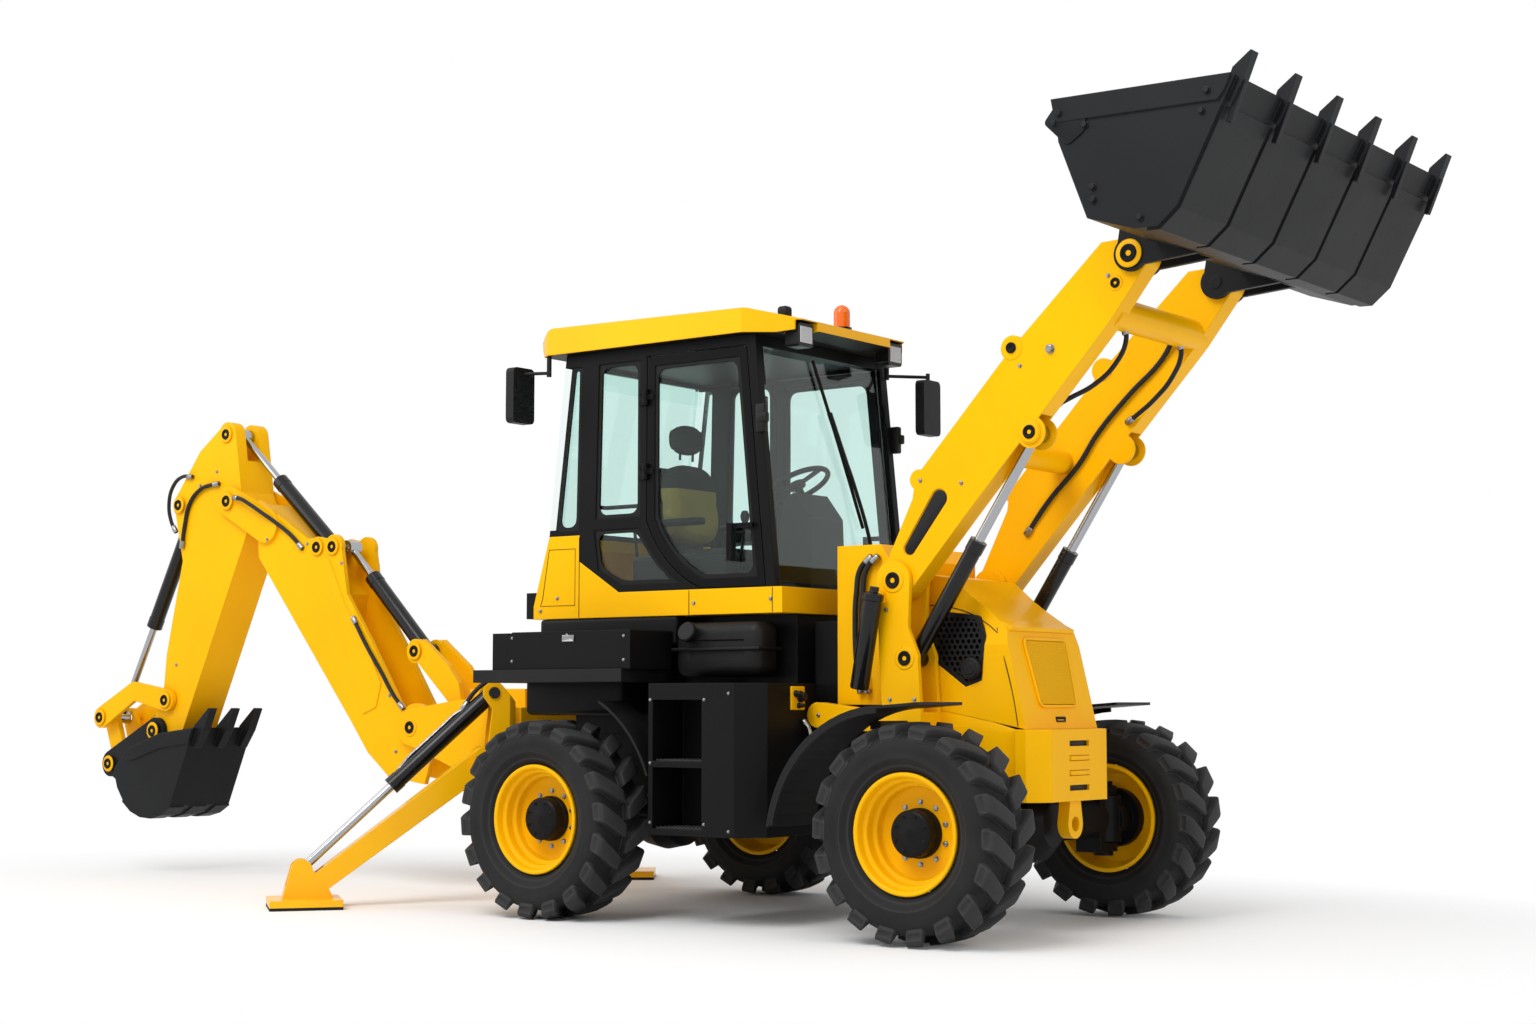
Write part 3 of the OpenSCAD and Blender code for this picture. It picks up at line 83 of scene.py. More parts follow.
def makeCamera():
    data = bpy.data.cameras.new("photoCamera")
    data.lens = cameraSet["lens"]
    data.sensor_width = cameraSet["sensor"]
    data.sensor_fit = "HORIZONTAL"
    data.clip_end = 300
    camera = bpy.data.objects.new("photoCamera", data)
    bpy.context.scene.collection.objects.link(camera)
    camera.location = at(*cameraSet["place"])
    look(camera, at(*cameraSet["target"]))
    bpy.context.scene.camera = camera


def makeLamp(name):
    spec = lightSet[name]
    data = bpy.data.lights.new(name, "AREA")
    data.shape = "DISK"
    data.size = spec["size"]
    data.energy = spec["power"]
    lamp = bpy.data.objects.new(name, data)
    bpy.context.scene.collection.objects.link(lamp)
    lamp.location = at(*spec["place"])
    look(lamp, at(0.4, 0, 1.2))


# Shader maths

class Wire:                               # one socket of a material, with the operators that are used
    def __init__(self, shader, socket):
        self.shader = shader
        self.socket = socket

    def maths(self, operation, first, second):
        return self.shader.node("Math", {"operation": operation}, {0: first, 1: second})

    def __add__(self, other):
        return self.maths("ADD", self, other)

    def __radd__(self, other):
        return self.maths("ADD", other, self)

    def __sub__(self, other):
        return self.maths("SUBTRACT", self, other)

    def __rsub__(self, other):
        return self.maths("SUBTRACT", other, self)

    def __mul__(self, other):
        return self.maths("MULTIPLY", self, other)

    def __rmul__(self, other):
        return self.maths("MULTIPLY", other, self)

    def __pow__(self, other):
        return self.maths("POWER", self, other)

    def __gt__(self, other):
        return self.maths("GREATER_THAN", self, other)

    def __lt__(self, other):
        return self.maths("LESS_THAN", self, other)


class Shader:                             # a material that is built up one node at a time
    def __init__(self, name, **values):
        self.material = bpy.data.materials.new(name)
        self.material.use_nodes = True
        self.tree = self.material.node_tree
        self.bsdf = self.tree.nodes["Principled BSDF"]
        self.set(**values)
        self.coords = Wire(self, self.tree.nodes.new("ShaderNodeTexCoord").outputs["Object"])

    def set(self, **values):              # names are socket names, written in one word
        for key, value in values.items():
            socket = next(s for s in self.bsdf.inputs if s.name.replace(" ", "").lower() == key.lower())
            self.join(socket, value)

    def join(self, socket, value):
        if isinstance(value, Wire):
            self.tree.links.new(value.socket, socket)
        elif hasattr(socket.default_value, "__len__") and len(socket.default_value) == 4:
            socket.default_value = tuple(value) + (1.0,) * (4 - len(value))
        else:
            socket.default_value = value

    def node(self, kind, settings=None, sockets=None, out=0):
        made = self.tree.nodes.new("ShaderNode" + kind)
        for key, value in (settings or {}).items():
            setattr(made, key, value)
        for key, value in (sockets or {}).items():
            self.join(made.inputs[key], value)
        return Wire(self, made.outputs[out])

    def blend(self, amount, other):       # the finish gives way to another shader
        both = self.node("MixShader", {}, {0: amount})
        self.tree.links.new(self.bsdf.outputs[0], both.socket.node.inputs[1])
        self.tree.links.new(other, both.socket.node.inputs[2])
        output = next(n for n in self.tree.nodes if n.type == "OUTPUT_MATERIAL")
        self.tree.links.new(both.socket, output.inputs[0])

    def noise(self, scale, detail=4.0, rough=0.55):
        return self.node("TexNoise", {}, {"Vector": self.coords, "Scale": scale, "Detail": detail,
                                          "Roughness": rough})

    def mix(self, factor, first, second):
        return self.node("Mix", {"data_type": "RGBA"}, {0: factor, 6: first, 7: second}, 2)

    def ramp(self, value, low, high):     # from 0 at low to 1 at high
        return self.node("MapRange", {"clamp": True}, {0: value, 1: low, 2: high, 3: 0.0, 4: 1.0})

    def axes(self):
        made = self.tree.nodes.new("ShaderNodeSeparateXYZ")
        self.tree.links.new(self.coords.socket, made.inputs[0])
        return [Wire(self, output) for output in made.outputs]

    def bump(self, height, strength, distance, normal=None):
        sockets = {"Height": height, "Strength": strength, "Distance": distance}
        if normal:
            sockets["Normal"] = normal
        self.set(Normal=self.node("Bump", {}, sockets))

    def edges(self, radius):              # the normal of rounded edges, and a mask that is 1 on them
        soft = self.node("Bevel", {"samples": 6}, {"Radius": radius})
        sharp = Wire(self, self.tree.nodes.new("ShaderNodeNewGeometry").outputs["True Normal"])
        dot = self.node("VectorMath", {"operation": "DOT_PRODUCT"}, {0: soft, 1: sharp}, 1)
        return soft, self.ramp(dot, 0.985, 0.86)


# Finishes

# edge is a painted highlight: the lighter colour that is laid on rounded edges
paintSet = {
    "yellow": {"base": (0.965, 0.500, 0.0015), "deep": (0.90, 0.430, 0.001), "edge": (1.0, 0.60, 0.03),
               "rough": 0.30, "coat": 0.04, "gloss": 0.06, "peel": 260.0},
    "black": {"base": (0.0055, 0.0055, 0.006), "deep": (0.0032, 0.0032, 0.0036), "edge": (0.026, 0.026, 0.028),
              "rough": 0.42, "coat": 0.03, "gloss": 0.10, "peel": 300.0},
    "cab": {"base": (0.0030, 0.0030, 0.0033), "deep": (0.0018, 0.0018, 0.0020), "edge": (0.020, 0.020, 0.021),
            "rough": 0.40, "coat": 0.02, "gloss": 0.09, "peel": 300.0},
    "bucket": {"base": (0.0105, 0.0112, 0.0125), "deep": (0.0066, 0.0068, 0.0076), "edge": (0.050, 0.052, 0.056),
               "rough": 0.46, "coat": 0.03, "gloss": 0.12, "peel": 420.0},
    "barrel": {"base": (0.004, 0.004, 0.0042), "deep": (0.003, 0.003, 0.003), "edge": (0.02, 0.02, 0.02),
               "rough": 0.22, "coat": 0.20, "gloss": 0.25, "peel": 200.0},
}


def paint(name, edgeRadius=0.007):
    spec = paintSet[name]
    shader = Shader(name + "Paint", CoatRoughness=0.08, SpecularIORLevel=spec["gloss"])
    soft, edge = shader.edges(edgeRadius)
    cloud = shader.ramp(shader.noise(1.6, 5.0), 0.35, 0.7)
    speck = shader.ramp(shader.noise(34.0, 3.0), 0.55, 0.75)
    base = shader.mix(cloud * 0.6, spec["base"], spec["deep"])
    # painted highlight: the colour turns lighter along rounded edges
    shader.set(BaseColor=shader.mix(edge * 0.45, base, spec["edge"]))
    shader.set(Roughness=spec["rough"] + cloud * 0.05 + speck * 0.05 + edge * 0.08)
    shader.set(CoatWeight=spec["coat"] - speck * (spec["coat"] * 0.3))
    shader.bump(shader.noise(spec["peel"], 2.0), 0.05, 0.002, soft)
    return shader.material


def rubberFinish(name, low, high):
    shader = Shader(name, SpecularIORLevel=0.18)
    cloud = shader.ramp(shader.noise(5.0, 6.0), 0.3, 0.75)
    grit = shader.noise(160.0, 3.0)
    soft, edge = shader.edges(0.012)
    base = shader.mix(cloud, low, high)
    # painted highlight: the rubber turns lighter along rounded edges, such as the lugs' edges
    shader.set(BaseColor=shader.mix(edge * 0.7, base, (0.060, 0.060, 0.061)))
    shader.set(Roughness=0.62 + cloud * 0.16)
    shader.bump(grit, 0.25, 0.003, soft)
    return shader.material


def chromeFinish():
    shader = Shader("rodChrome", BaseColor=(0.40, 0.41, 0.43), Metallic=1.0)
    lines = shader.noise(90.0, 2.0)
    shader.set(Roughness=0.08 + lines * 0.10)
    return shader.material


def glassFinish(name, tint):
    shader = Shader(name, BaseColor=tint, TransmissionWeight=1.0, IOR=1.36)
    haze = shader.ramp(shader.noise(2.2, 3.0), 0.35, 0.75)
    shader.set(Roughness=0.004 + haze * 0.012)
    return shader.material


def plasticFinish(name, colour, rough, grain=900.0, strength=0.12):
    shader = Shader(name, SpecularIORLevel=0.22)
    cloud = shader.ramp(shader.noise(9.0, 4.0), 0.35, 0.7)
    lift = tuple(min(1.0, c * 1.35 + 0.0015) for c in colour)
    shader.set(BaseColor=shader.mix(cloud, colour, lift))
    shader.set(Roughness=rough + cloud * 0.08)
    soft = shader.edges(0.004)[0]
    shader.bump(shader.noise(grain, 2.0), strength, 0.001, soft)
    return shader.material


def castFinish():
    shader = Shader("engineCast", Metallic=0.5)
    cloud = shader.ramp(shader.noise(14.0, 5.0), 0.3, 0.7)
    shader.set(BaseColor=shader.mix(cloud, (0.08, 0.08, 0.085), (0.16, 0.16, 0.165)), Roughness=0.6 + cloud * 0.1)
    shader.bump(shader.noise(220.0, 3.0), 0.3, 0.002)
    return shader.material


def steelFinish():                        # bright plated bolts
    shader = Shader("zincBolts", Metallic=1.0)
    cloud = shader.ramp(shader.noise(60.0, 3.0), 0.3, 0.7)
    shader.set(BaseColor=shader.mix(cloud, (0.24, 0.24, 0.25), (0.38, 0.38, 0.38)), Roughness=0.24 + cloud * 0.14)
    return shader.material


def fabricFinish(name, low, high, top=None):    # a plain weave: two crossed sets of ribs, and a dark top panel
    shader = Shader(name, SpecularIORLevel=0.15)
    x, y, z = shader.axes()
    warp = (y.maths("SINE", y * 1400.0, 0.0) + 1.0) * 0.5
    weft = (z.maths("SINE", (z + x) * 1400.0, 0.0) + 1.0) * 0.5
    cloud = shader.ramp(shader.noise(11.0, 4.0), 0.3, 0.7)
    colour = shader.mix(warp * weft * 0.6 + cloud * 0.4, low, high)
    if top:
        colour = shader.mix(z > top, colour, (0.022, 0.025, 0.024))
    shader.set(BaseColor=colour, Roughness=0.82 + cloud * 0.1)
    shader.bump(warp * weft, 0.35, 0.0015)
    return shader.material


def padFinish(name):                      # yellow leg whose sole, at the ground, is black rubber
    shader = Shader(name, CoatRoughness=0.08, SpecularIORLevel=0.2)
    sole = shader.axes()[2] < 0.016
    spec = paintSet["yellow"]
    soft, edge = shader.edges(0.007)
    cloud = shader.ramp(shader.noise(1.6, 5.0), 0.35, 0.7)
    base = shader.mix(cloud * 0.6, spec["base"], spec["deep"])
    # painted highlight: the paint turns lighter along rounded edges
    base = shader.mix(edge * 0.45, base, spec["edge"])
    shader.set(BaseColor=shader.mix(sole, base, (0.012, 0.012, 0.012)))
    shader.set(Roughness=spec["rough"] + sole * 0.4, CoatWeight=0.1 - sole * 0.1)
    shader.bump(shader.noise(260.0, 2.0), 0.05, 0.002, soft)
    return shader.material


def cabFrameFinish():                     # black frame whose rear corner posts are bent glass
    shader = Shader("cabFramePaint", SpecularIORLevel=0.12)
    x, z = shader.axes()[::2]
    spec = paintSet["cab"]
    soft = shader.edges(0.008)[0]
    cloud = shader.ramp(shader.noise(1.6, 5.0), 0.35, 0.7)
    shader.set(BaseColor=shader.mix(cloud * 0.6, spec["base"], spec["deep"]), Roughness=0.44 + cloud * 0.06)
    shader.bump(shader.noise(300.0, 2.0), 0.05, 0.002, soft)
    lean = (z - 1.97) * 0.1186 + (rearX - 0.36)
    post = (x < lean + 0.072) * (z > 2.004) * (z < 2.872)
    pane = shader.tree.nodes.new("ShaderNodeBsdfPrincipled")
    for key, value in (("Base Color", (0.88, 0.955, 0.935, 1)), ("Transmission Weight", 1.0), ("IOR", 1.03),
                       ("Roughness", 0.02)):
        pane.inputs[key].default_value = value
    shader.blend(post, pane.outputs[0])
    return shader.material


def beaconFinish(low):                    # amber dome on a black foot
    shader = Shader("beaconAmber", Roughness=0.1, EmissionStrength=0.06)
    foot = shader.axes()[2] < low + 0.040
    ribs = shader.ramp(shader.noise(50.0, 2.0), 0.3, 0.7)
    shader.set(BaseColor=shader.mix(foot, (0.74, 0.135, 0.003), (0.008, 0.008, 0.008)))
    shader.set(EmissionColor=shader.mix(foot, (0.95, 0.24, 0.004), (0.0, 0.0, 0.0)))
    shader.bump(ribs, 0.2, 0.002)
    return shader.material


def lampBodyFinish():                     # black housings in front, amber markers behind
    shader = Shader("lampBodies", Roughness=0.35, SpecularIORLevel=0.25, EmissionStrength=0.04)
    behind = shader.axes()[0] < rearX
    grain = shader.noise(400.0, 2.0)
    shader.set(BaseColor=shader.mix(behind, (0.008, 0.008, 0.008), (0.80, 0.13, 0.004)))
    shader.set(EmissionColor=shader.mix(behind, (0.0, 0.0, 0.0), (0.8, 0.12, 0.003)))
    shader.bump(grain, 0.1, 0.001)
    return shader.material


def roofFinish():                         # yellow over, near black below: faces that point down stand partly for the roof's black under-trim, partly for painted shade
    shader = Shader("roofPaint", CoatRoughness=0.08, SpecularIORLevel=0.2)
    spec = paintSet["yellow"]
    soft = shader.edges(0.012)[0]
    facing = shader.tree.nodes.new("ShaderNodeSeparateXYZ")
    geometry = shader.tree.nodes.new("ShaderNodeNewGeometry")
    shader.tree.links.new(geometry.outputs["True Normal"], facing.inputs[0])
    # painted shade: every face that points down is painted near black
    shadeBelow = Wire(shader, facing.outputs[2]) < -0.3
    cloud = shader.ramp(shader.noise(1.6, 5.0), 0.35, 0.7)
    paintColour = shader.mix(cloud * 0.6, spec["base"], spec["deep"])
    shader.set(BaseColor=shader.mix(shadeBelow, paintColour, (0.007, 0.007, 0.007)), Roughness=0.32 + shadeBelow * 0.2)
    shader.bump(shader.noise(260.0, 2.0), 0.05, 0.002, soft)
    return shader.material


def lampFinish(name, colour, glow):
    shader = Shader(name, BaseColor=colour, Roughness=0.08, IOR=1.5, EmissionColor=colour, EmissionStrength=glow)
    ribs = shader.noise(120.0, 1.0)
    shader.bump(ribs, 0.15, 0.002)
    return shader.material


yellow = paint("yellow")
black = paint("black")
cabBlack = paint("cab")
bucketBlack = paint("bucket")
barrelBlack = paint("barrel")
rubber = rubberFinish("tyreRubber", (0.010, 0.010, 0.0105), (0.021, 0.021, 0.0215))
treadRubber = rubberFinish("treadRubber", (0.024, 0.024, 0.025), (0.040, 0.040, 0.041))
chrome = chromeFinish()
glass = glassFinish("cabGlass", (0.76, 0.905, 0.87))
trim = plasticFinish("trimPlastic", (0.0048, 0.0048, 0.0052), 0.46)
seal = plasticFinish("sealRubber", (0.0035, 0.0035, 0.0036), 0.6)
cast = castFinish()
hoseRubber = plasticFinish("hoseRubber", (0.013, 0.013, 0.014), 0.5, 700.0, 0.2)
zinc = steelFinish()
treadSteel = plasticFinish("treadSteel", (0.030, 0.030, 0.032), 0.40, 500.0, 0.2)
seatDark = fabricFinish("seatFabricDark", (0.030, 0.034, 0.034), (0.055, 0.060, 0.058))
seatTan = fabricFinish("seatFabricTan", (0.34, 0.235, 0.055), (0.44, 0.32, 0.09), 2.235)
lampGlass = lampFinish("lampLens", (0.50, 0.52, 0.55), 0.02)
amber = beaconFinish(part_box("beacon")[0].z)
lampBody = lampBodyFinish()
roofPaint = roofFinish()
cabPaint = cabFrameFinish()

nodeFinish = {
    "frame": black, "front_axle": black, "rear_axle": black, "knuckle_right": black, "knuckle_left": black,
    "tool_boxes": black, "step_boxes": black, "cab_frame": cabPaint, "door_right": cabBlack, "door_left": cabBlack,
    "loader_bucket": bucketBlack, "hoe_bucket": bucketBlack,
    "front_fenders": trim, "rear_fenders": trim, "side_grilles": trim, "mirrors": trim, "console": trim, "seat": trim,
    "cab_glass": glass, "door_glass_right": glass, "door_glass_left": glass,
    "lamps": lampBody, "beacon": amber, "cab_roof": roofPaint, "engine_block": cast,
}


def dressNode(name, node):
    if name in nodeFinish:
        finish = nodeFinish[name]
    elif "barrel" in name:
        finish = barrelBlack
    elif "rod" in name:
        finish = chrome
    elif name.startswith("tyre"):
        finish = rubber
    elif name.startswith("stabiliser"):
        finish = padFinish(name + "Paint")
    else:
        finish = yellow
    node.data.materials.clear()
    node.data.materials.append(finish)


for nodeName, nodeObject in nodes.items():
    dressNode(nodeName, nodeObject)
print("finishes on every node")


# Modelling by hand

def deselect():
    if bpy.context.object and bpy.context.object.mode != "OBJECT":
        bpy.ops.object.mode_set(mode="OBJECT")
    bpy.ops.object.select_all(action="DESELECT")


def take(piece):                          # the only selected object
    deselect()
    piece.select_set(True)
    bpy.context.view_layer.objects.active = piece


def linked(name, mesh):
    piece = bpy.data.objects.new(name, mesh)
    bpy.context.scene.collection.objects.link(piece)
    return piece


def applyModifier(piece, kind, **values):
    take(piece)
    modifier = piece.modifiers.new("step", kind)
    for key, value in values.items():
        setattr(modifier, key, value)
    bpy.ops.object.modifier_apply(modifier=modifier.name)


def roundEdges(piece, width, segments=2, angle=30):
    applyModifier(piece, "BEVEL", width=width, segments=segments, limit_method="ANGLE",
                  angle_limit=math.radians(angle))


def editFaces(piece, test):               # opens edit mode with the faces that pass the test selected
    take(piece)
    bpy.context.tool_settings.mesh_select_mode = (False, False, True)
    bpy.ops.object.mode_set(mode="EDIT")
    bpy.ops.mesh.select_all(action="DESELECT")
    bpy.ops.object.mode_set(mode="OBJECT")
    for face in piece.data.polygons:
        face.select = bool(test(face))
    bpy.ops.object.mode_set(mode="EDIT")


def editEdges(piece, test):               # the same for edges, by the places of their two ends
    take(piece)
    bpy.context.tool_settings.mesh_select_mode = (False, True, False)
    bpy.ops.object.mode_set(mode="EDIT")
    bpy.ops.mesh.select_all(action="DESELECT")
    bpy.ops.object.mode_set(mode="OBJECT")
    for edge in piece.data.edges:
        edge.select = test(*(piece.data.vertices[i].co for i in edge.vertices))
    bpy.ops.object.mode_set(mode="EDIT")


def endEdit():
    bpy.ops.object.mode_set(mode="OBJECT")


def tidyMesh(piece):
    take(piece)
    bpy.ops.object.mode_set(mode="EDIT")
    bpy.ops.mesh.select_all(action="SELECT")
    bpy.ops.mesh.remove_doubles(threshold=0.00005)
    bpy.ops.mesh.normals_make_consistent(inside=False)
    bpy.ops.object.mode_set(mode="OBJECT")


def joinAll(parts):
    deselect()
    for part in parts:
        part.select_set(True)
    bpy.context.view_layer.objects.active = parts[0]
    if len(parts) > 1:
        bpy.ops.object.join()
    return parts[0]


def finishPiece(piece, name, finish, body, angle=35):
    take(piece)
    piece.name = name
    piece.data.name = name
    bpy.ops.object.transform_apply(location=True, rotation=True, scale=True)
    bpy.ops.object.shade_smooth_by_angle(angle=math.radians(angle))
    if finish:
        piece.data.materials.clear()
        piece.data.materials.append(finish)
    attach(piece, body)
    return piece


def pointed(axis, place):                 # the matrix that stands a part's Z along an axis
    return Matrix.Translation(place) @ Vector(axis).to_track_quat("Z", "Y").to_matrix().to_4x4()


def copyTo(template, place, axis, size=1.0, turn=0.0):
    piece = linked(template.name, template.data.copy())
    piece.data.transform(pointed(axis, place) @ Matrix.Rotation(turn, 4, "Z") @ Matrix.Diagonal((size, size, size, 1)))
    return piece


def dropTemplates(*templates):
    for template in templates:
        bpy.data.objects.remove(template)


def boxPiece(low, high, rounding, segments=2):
    low, high = Vector(low), Vector(high)
    deselect()
    bpy.ops.mesh.primitive_cube_add(size=1, location=(low + high) / 2)
    piece = bpy.context.object
    piece.scale = high - low
    bpy.ops.object.transform_apply(location=True, rotation=True, scale=True)
    if rounding:
        roundEdges(piece, rounding, segments)
    return piece


def turned(profile, place, axis, steps=32):    # a turned part: pairs of radius and height, spun round its axis
    mesh = bpy.data.meshes.new("turned")
    mesh.from_pydata([(r, 0, h) for r, h in profile], [(i, i + 1) for i in range(len(profile) - 1)], [])
    piece = linked("turned", mesh)
    take(piece)
    bpy.ops.object.mode_set(mode="EDIT")
    bpy.ops.mesh.select_all(action="SELECT")
    bpy.ops.mesh.spin(steps=steps, angle=2 * math.pi, center=(0, 0, 0), axis=(0, 0, 1))
    bpy.ops.object.mode_set(mode="OBJECT")
    tidyMesh(piece)
    piece.data.transform(pointed(axis, place))
    return piece


def tubeAlong(points, radius, sides=10, smooth=True):    # a bent tube through the points
    curve = bpy.data.curves.new("tube", "CURVE")
    curve.dimensions = "3D"
    curve.bevel_depth = radius
    curve.bevel_resolution = max(1, sides // 4)
    curve.resolution_u = 8 if smooth else 1
    curve.use_fill_caps = True
    spline = curve.splines.new("BEZIER" if smooth else "POLY")
    if smooth:
        spline.bezier_points.add(len(points) - 1)
        for knot, point in zip(spline.bezier_points, points):
            knot.co = point
            knot.handle_left_type = knot.handle_right_type = "AUTO"
    else:
        spline.points.add(len(points) - 1)
        for knot, point in zip(spline.points, points):
            knot.co = (*point, 1)
    piece = linked("tube", curve)
    take(piece)
    bpy.ops.object.convert(target="MESH")
    return bpy.context.object


def rounded(points, radius, steps=5):     # an outline with its corners rounded
    made = []
    for i, point in enumerate(points):
        here = Vector(point)
        before = Vector(points[i - 1]) - here
        after = Vector(points[(i + 1) % len(points)]) - here
        reach = min(radius, before.length * 0.45, after.length * 0.45)
        a, b = here + before.normalized() * reach, here + after.normalized() * reach
        for k in range(steps + 1):
            s = k / steps
            made.append(tuple(a * (1 - s) ** 2 + here * (2 * s * (1 - s)) + b * s ** 2))
    return made


def shrunk(points, depth):                # an outline moved inwards
    area = sum(points[i - 1][0] * p[1] - p[0] * points[i - 1][1] for i, p in enumerate(points))
    turn = 1 if area > 0 else -1
    made = []
    for i, point in enumerate(points):
        here = Vector(point)
        first = (here - Vector(points[i - 1])).normalized()
        second = (Vector(points[(i + 1) % len(points)]) - here).normalized()
        n1, n2 = Vector((-first.y, first.x)) * turn, Vector((-second.y, second.x)) * turn
        made.append(tuple(here + (n1 + n2) * (depth / (1 + n1.dot(n2)))))
    return made


def plate(outlines, low, high):           # a flat plate in the side view, from y low to y high, with its holes
    curve = bpy.data.curves.new("plate", "CURVE")
    curve.dimensions = "2D"
    curve.fill_mode = "BOTH"
    curve.extrude = abs(high - low) / 2
    for outline in outlines:
        spline = curve.splines.new("POLY")
        spline.points.add(len(outline) - 1)
        for knot, (x, z) in zip(spline.points, outline):
            knot.co = (rearX + x, z, 0, 1)
        spline.use_cyclic_u = True
    take(linked("plate", curve))
    bpy.ops.object.convert(target="MESH")
    piece = bpy.context.object
    piece.data.transform(Matrix(((1, 0, 0, 0), (0, 0, 1, (low + high) / 2), (0, 1, 0, 0), (0, 0, 0, 1))))
    tidyMesh(piece)
    return piece


# Bolts, pin caps and fittings are modelled once and copied

def boltTemplate():
    washer = turned([(0, 0), (0.0105, 0), (0.0105, 0.0016), (0.0, 0.0016)], (0, 0, 0), (0, 0, 1), 16)
    deselect()
    bpy.ops.mesh.primitive_cylinder_add(vertices=6, radius=0.0085, depth=0.0068, location=(0, 0, 0.0050))
    bolt = bpy.context.object
    bpy.ops.object.transform_apply(location=True, rotation=True, scale=True)
    editFaces(bolt, lambda face: face.normal.z > 0.9)
    bpy.ops.mesh.inset(thickness=0.0014, depth=0.0010)
    endEdit()
    return joinAll([bolt, washer])


def capTemplate():                        # a pin's end: a turned cap with a sunk face
    return turned([(0, 0.0035), (0.30, 0.0035), (0.34, 0.0060), (0.62, 0.0060), (0.68, 0.0100), (0.93, 0.0100),
                   (1.0, 0.0060), (1.0, -0.0040), (0, -0.0040)], (0, 0, 0), (0, 0, 1), 36)


def capCopy(template, place, axis, radius):
    piece = linked(template.name, template.data.copy())
    piece.data.transform(pointed(axis, place) @ Matrix.Diagonal((radius, radius, 1, 1)))
    return piece


boltModel = boltTemplate()
capModel = capTemplate()


def nodeTree(name):                       # the node's faces, to find where a ray meets them
    mesh = nodes[name].data
    return BVHTree.FromPolygons([v.co for v in mesh.vertices], [p.vertices for p in mesh.polygons])


# places: (start, way in, size), each bolt on the first face met
def boltRow(name, body, node, places, finish=None):
    tree = nodeTree(node)
    parts = []
    for start, way, size in places:
        spot, normal = tree.ray_cast(at(*start), Vector(way))[:2]
        if spot:
            parts.append(copyTo(boltModel, spot, normal, size, rng.uniform(0, 1.0)))
        else:
            print("no face for a bolt on", node, start)
    return finishPiece(joinAll(parts), name, finish or zinc, body)


def sideBolts(points, size):              # the same places on both sides of the machine
    return [((x, side * 3, z), (0, -side, 0), size) for x, z in points for side in (-1, 1)]


def capRow(name, body, places, boss=True):    # places: (x, y, z, axis, radius)
    if boss:                              # a yellow pad under each cap
        pads = [turned([(0, 0.004), (r * 1.42, 0.004), (r * 1.56, 0.0), (r * 1.56, -0.001), (0, -0.001)], at(x, y, z),
                       axis, 36)
                for x, y, z, axis, r in places]
        finishPiece(joinAll(pads), name + "Pads", yellow, body)
    parts = [capCopy(capModel, at(x, y, z), axis, radius) for x, y, z, axis, radius in places]
    return finishPiece(joinAll(parts), name, black, body)


def pinEnds(pins):                        # the two ends across the machine of each pin: (x, half length, z, radius)
    return [(x, side * half, z, (0, side, 0), radius) for x, half, z, radius in pins for side in (-1, 1)]


def hose(name, body, points, radius=0.0125, finish=None, ferrule=0.05):
    path = [at(*p) for p in points]
    tube = tubeAlong(path, radius)
    tube.data.materials.clear()
    tube.data.materials.append(finish or hoseRubber)
    parts = [tube]
    if ferrule:
        for end, inner in ((path[0], path[1]), (path[-1], path[-2])):
            crimp = turned([(0, 0), (radius * 1.2, 0), (radius * 1.38, 0.004), (radius * 1.38, ferrule - 0.004),
                            (radius * 1.1, ferrule), (0, ferrule)], end, inner - end, 14)
            crimp.data.materials.append(zinc)
            parts.append(crimp)
    return finishPiece(joinAll(parts), name, None, body, 40)


# Tyres: a spun casing with curved lugs on both shoulders

tyreSet = {
    "casing": [(0.2745, 0.113), (0.2775, 0.130), (0.286, 0.139), (0.300, 0.149), (0.303, 0.155), (0.309, 0.155),
               (0.313, 0.158), (0.338, 0.1715), (0.341, 0.1765), (0.347, 0.1765), (0.351, 0.1755), (0.378, 0.1805),
               (0.402, 0.1795), (0.422, 0.172), (0.437, 0.160), (0.447, 0.144), (0.453, 0.118), (0.456, 0.070),
               (0.457, 0.0)],
    "lugTop": [(0.424, 0.1755), (0.433, 0.1835), (0.470, 0.1850), (0.488, 0.1730), (0.4960, 0.148), (0.4990, 0.105),
               (0.5000, 0.055), (0.5000, 0.010)],
    "lugFoot": [(0.418, 0.167), (0.426, 0.162), (0.438, 0.150), (0.446, 0.138), (0.450, 0.120), (0.452, 0.095),
                (0.454, 0.052), (0.454, 0.010)],
    "turn": [0.6, 0.4, 0.0, -0.6, -2.4, -5.2, -8.6, -11.6], "half": [4.6, 5.0, 5.3, 5.3, 5.0, 4.7, 4.4, 3.6],
    "lugs": 18, "slope": 1.0,
}


def lugPiece(side, start):                # one lug: a bar in sections, laid along its curve and bevelled
    deselect()
    count = len(tyreSet["turn"])
    bpy.ops.mesh.primitive_cube_add(size=2)
    lug = bpy.context.object
    editEdges(lug, lambda a, b: abs(a.y - b.y) > 1)
    bpy.ops.mesh.subdivide(number_cuts=count - 2)
    endEdit()
    for corner in lug.data.vertices:
        station = round((corner.co.y + 1) / 2 * (count - 1))
        top = corner.co.z > 0
        radius, across = tyreSet["lugTop" if top else "lugFoot"][station]
        half = tyreSet["half"][station] + (0 if top else tyreSet["slope"])
        angle = math.radians(start + tyreSet["turn"][station] + corner.co.x * half)
        corner.co = (radius * math.cos(angle), side * across, radius * math.sin(angle))
    tidyMesh(lug)
    editFaces(lug, lambda face: face.normal.y * side > 0.9 and face.center.xz.length > 0.44 and face.area > 0.0015)
    bpy.ops.mesh.inset(thickness=0.0095, depth=-0.009)      # the pocket in the lug's outer end
    endEdit()
    roundEdges(lug, 0.004, 2, 28)
    lug.data.materials.append(treadRubber)
    return lug


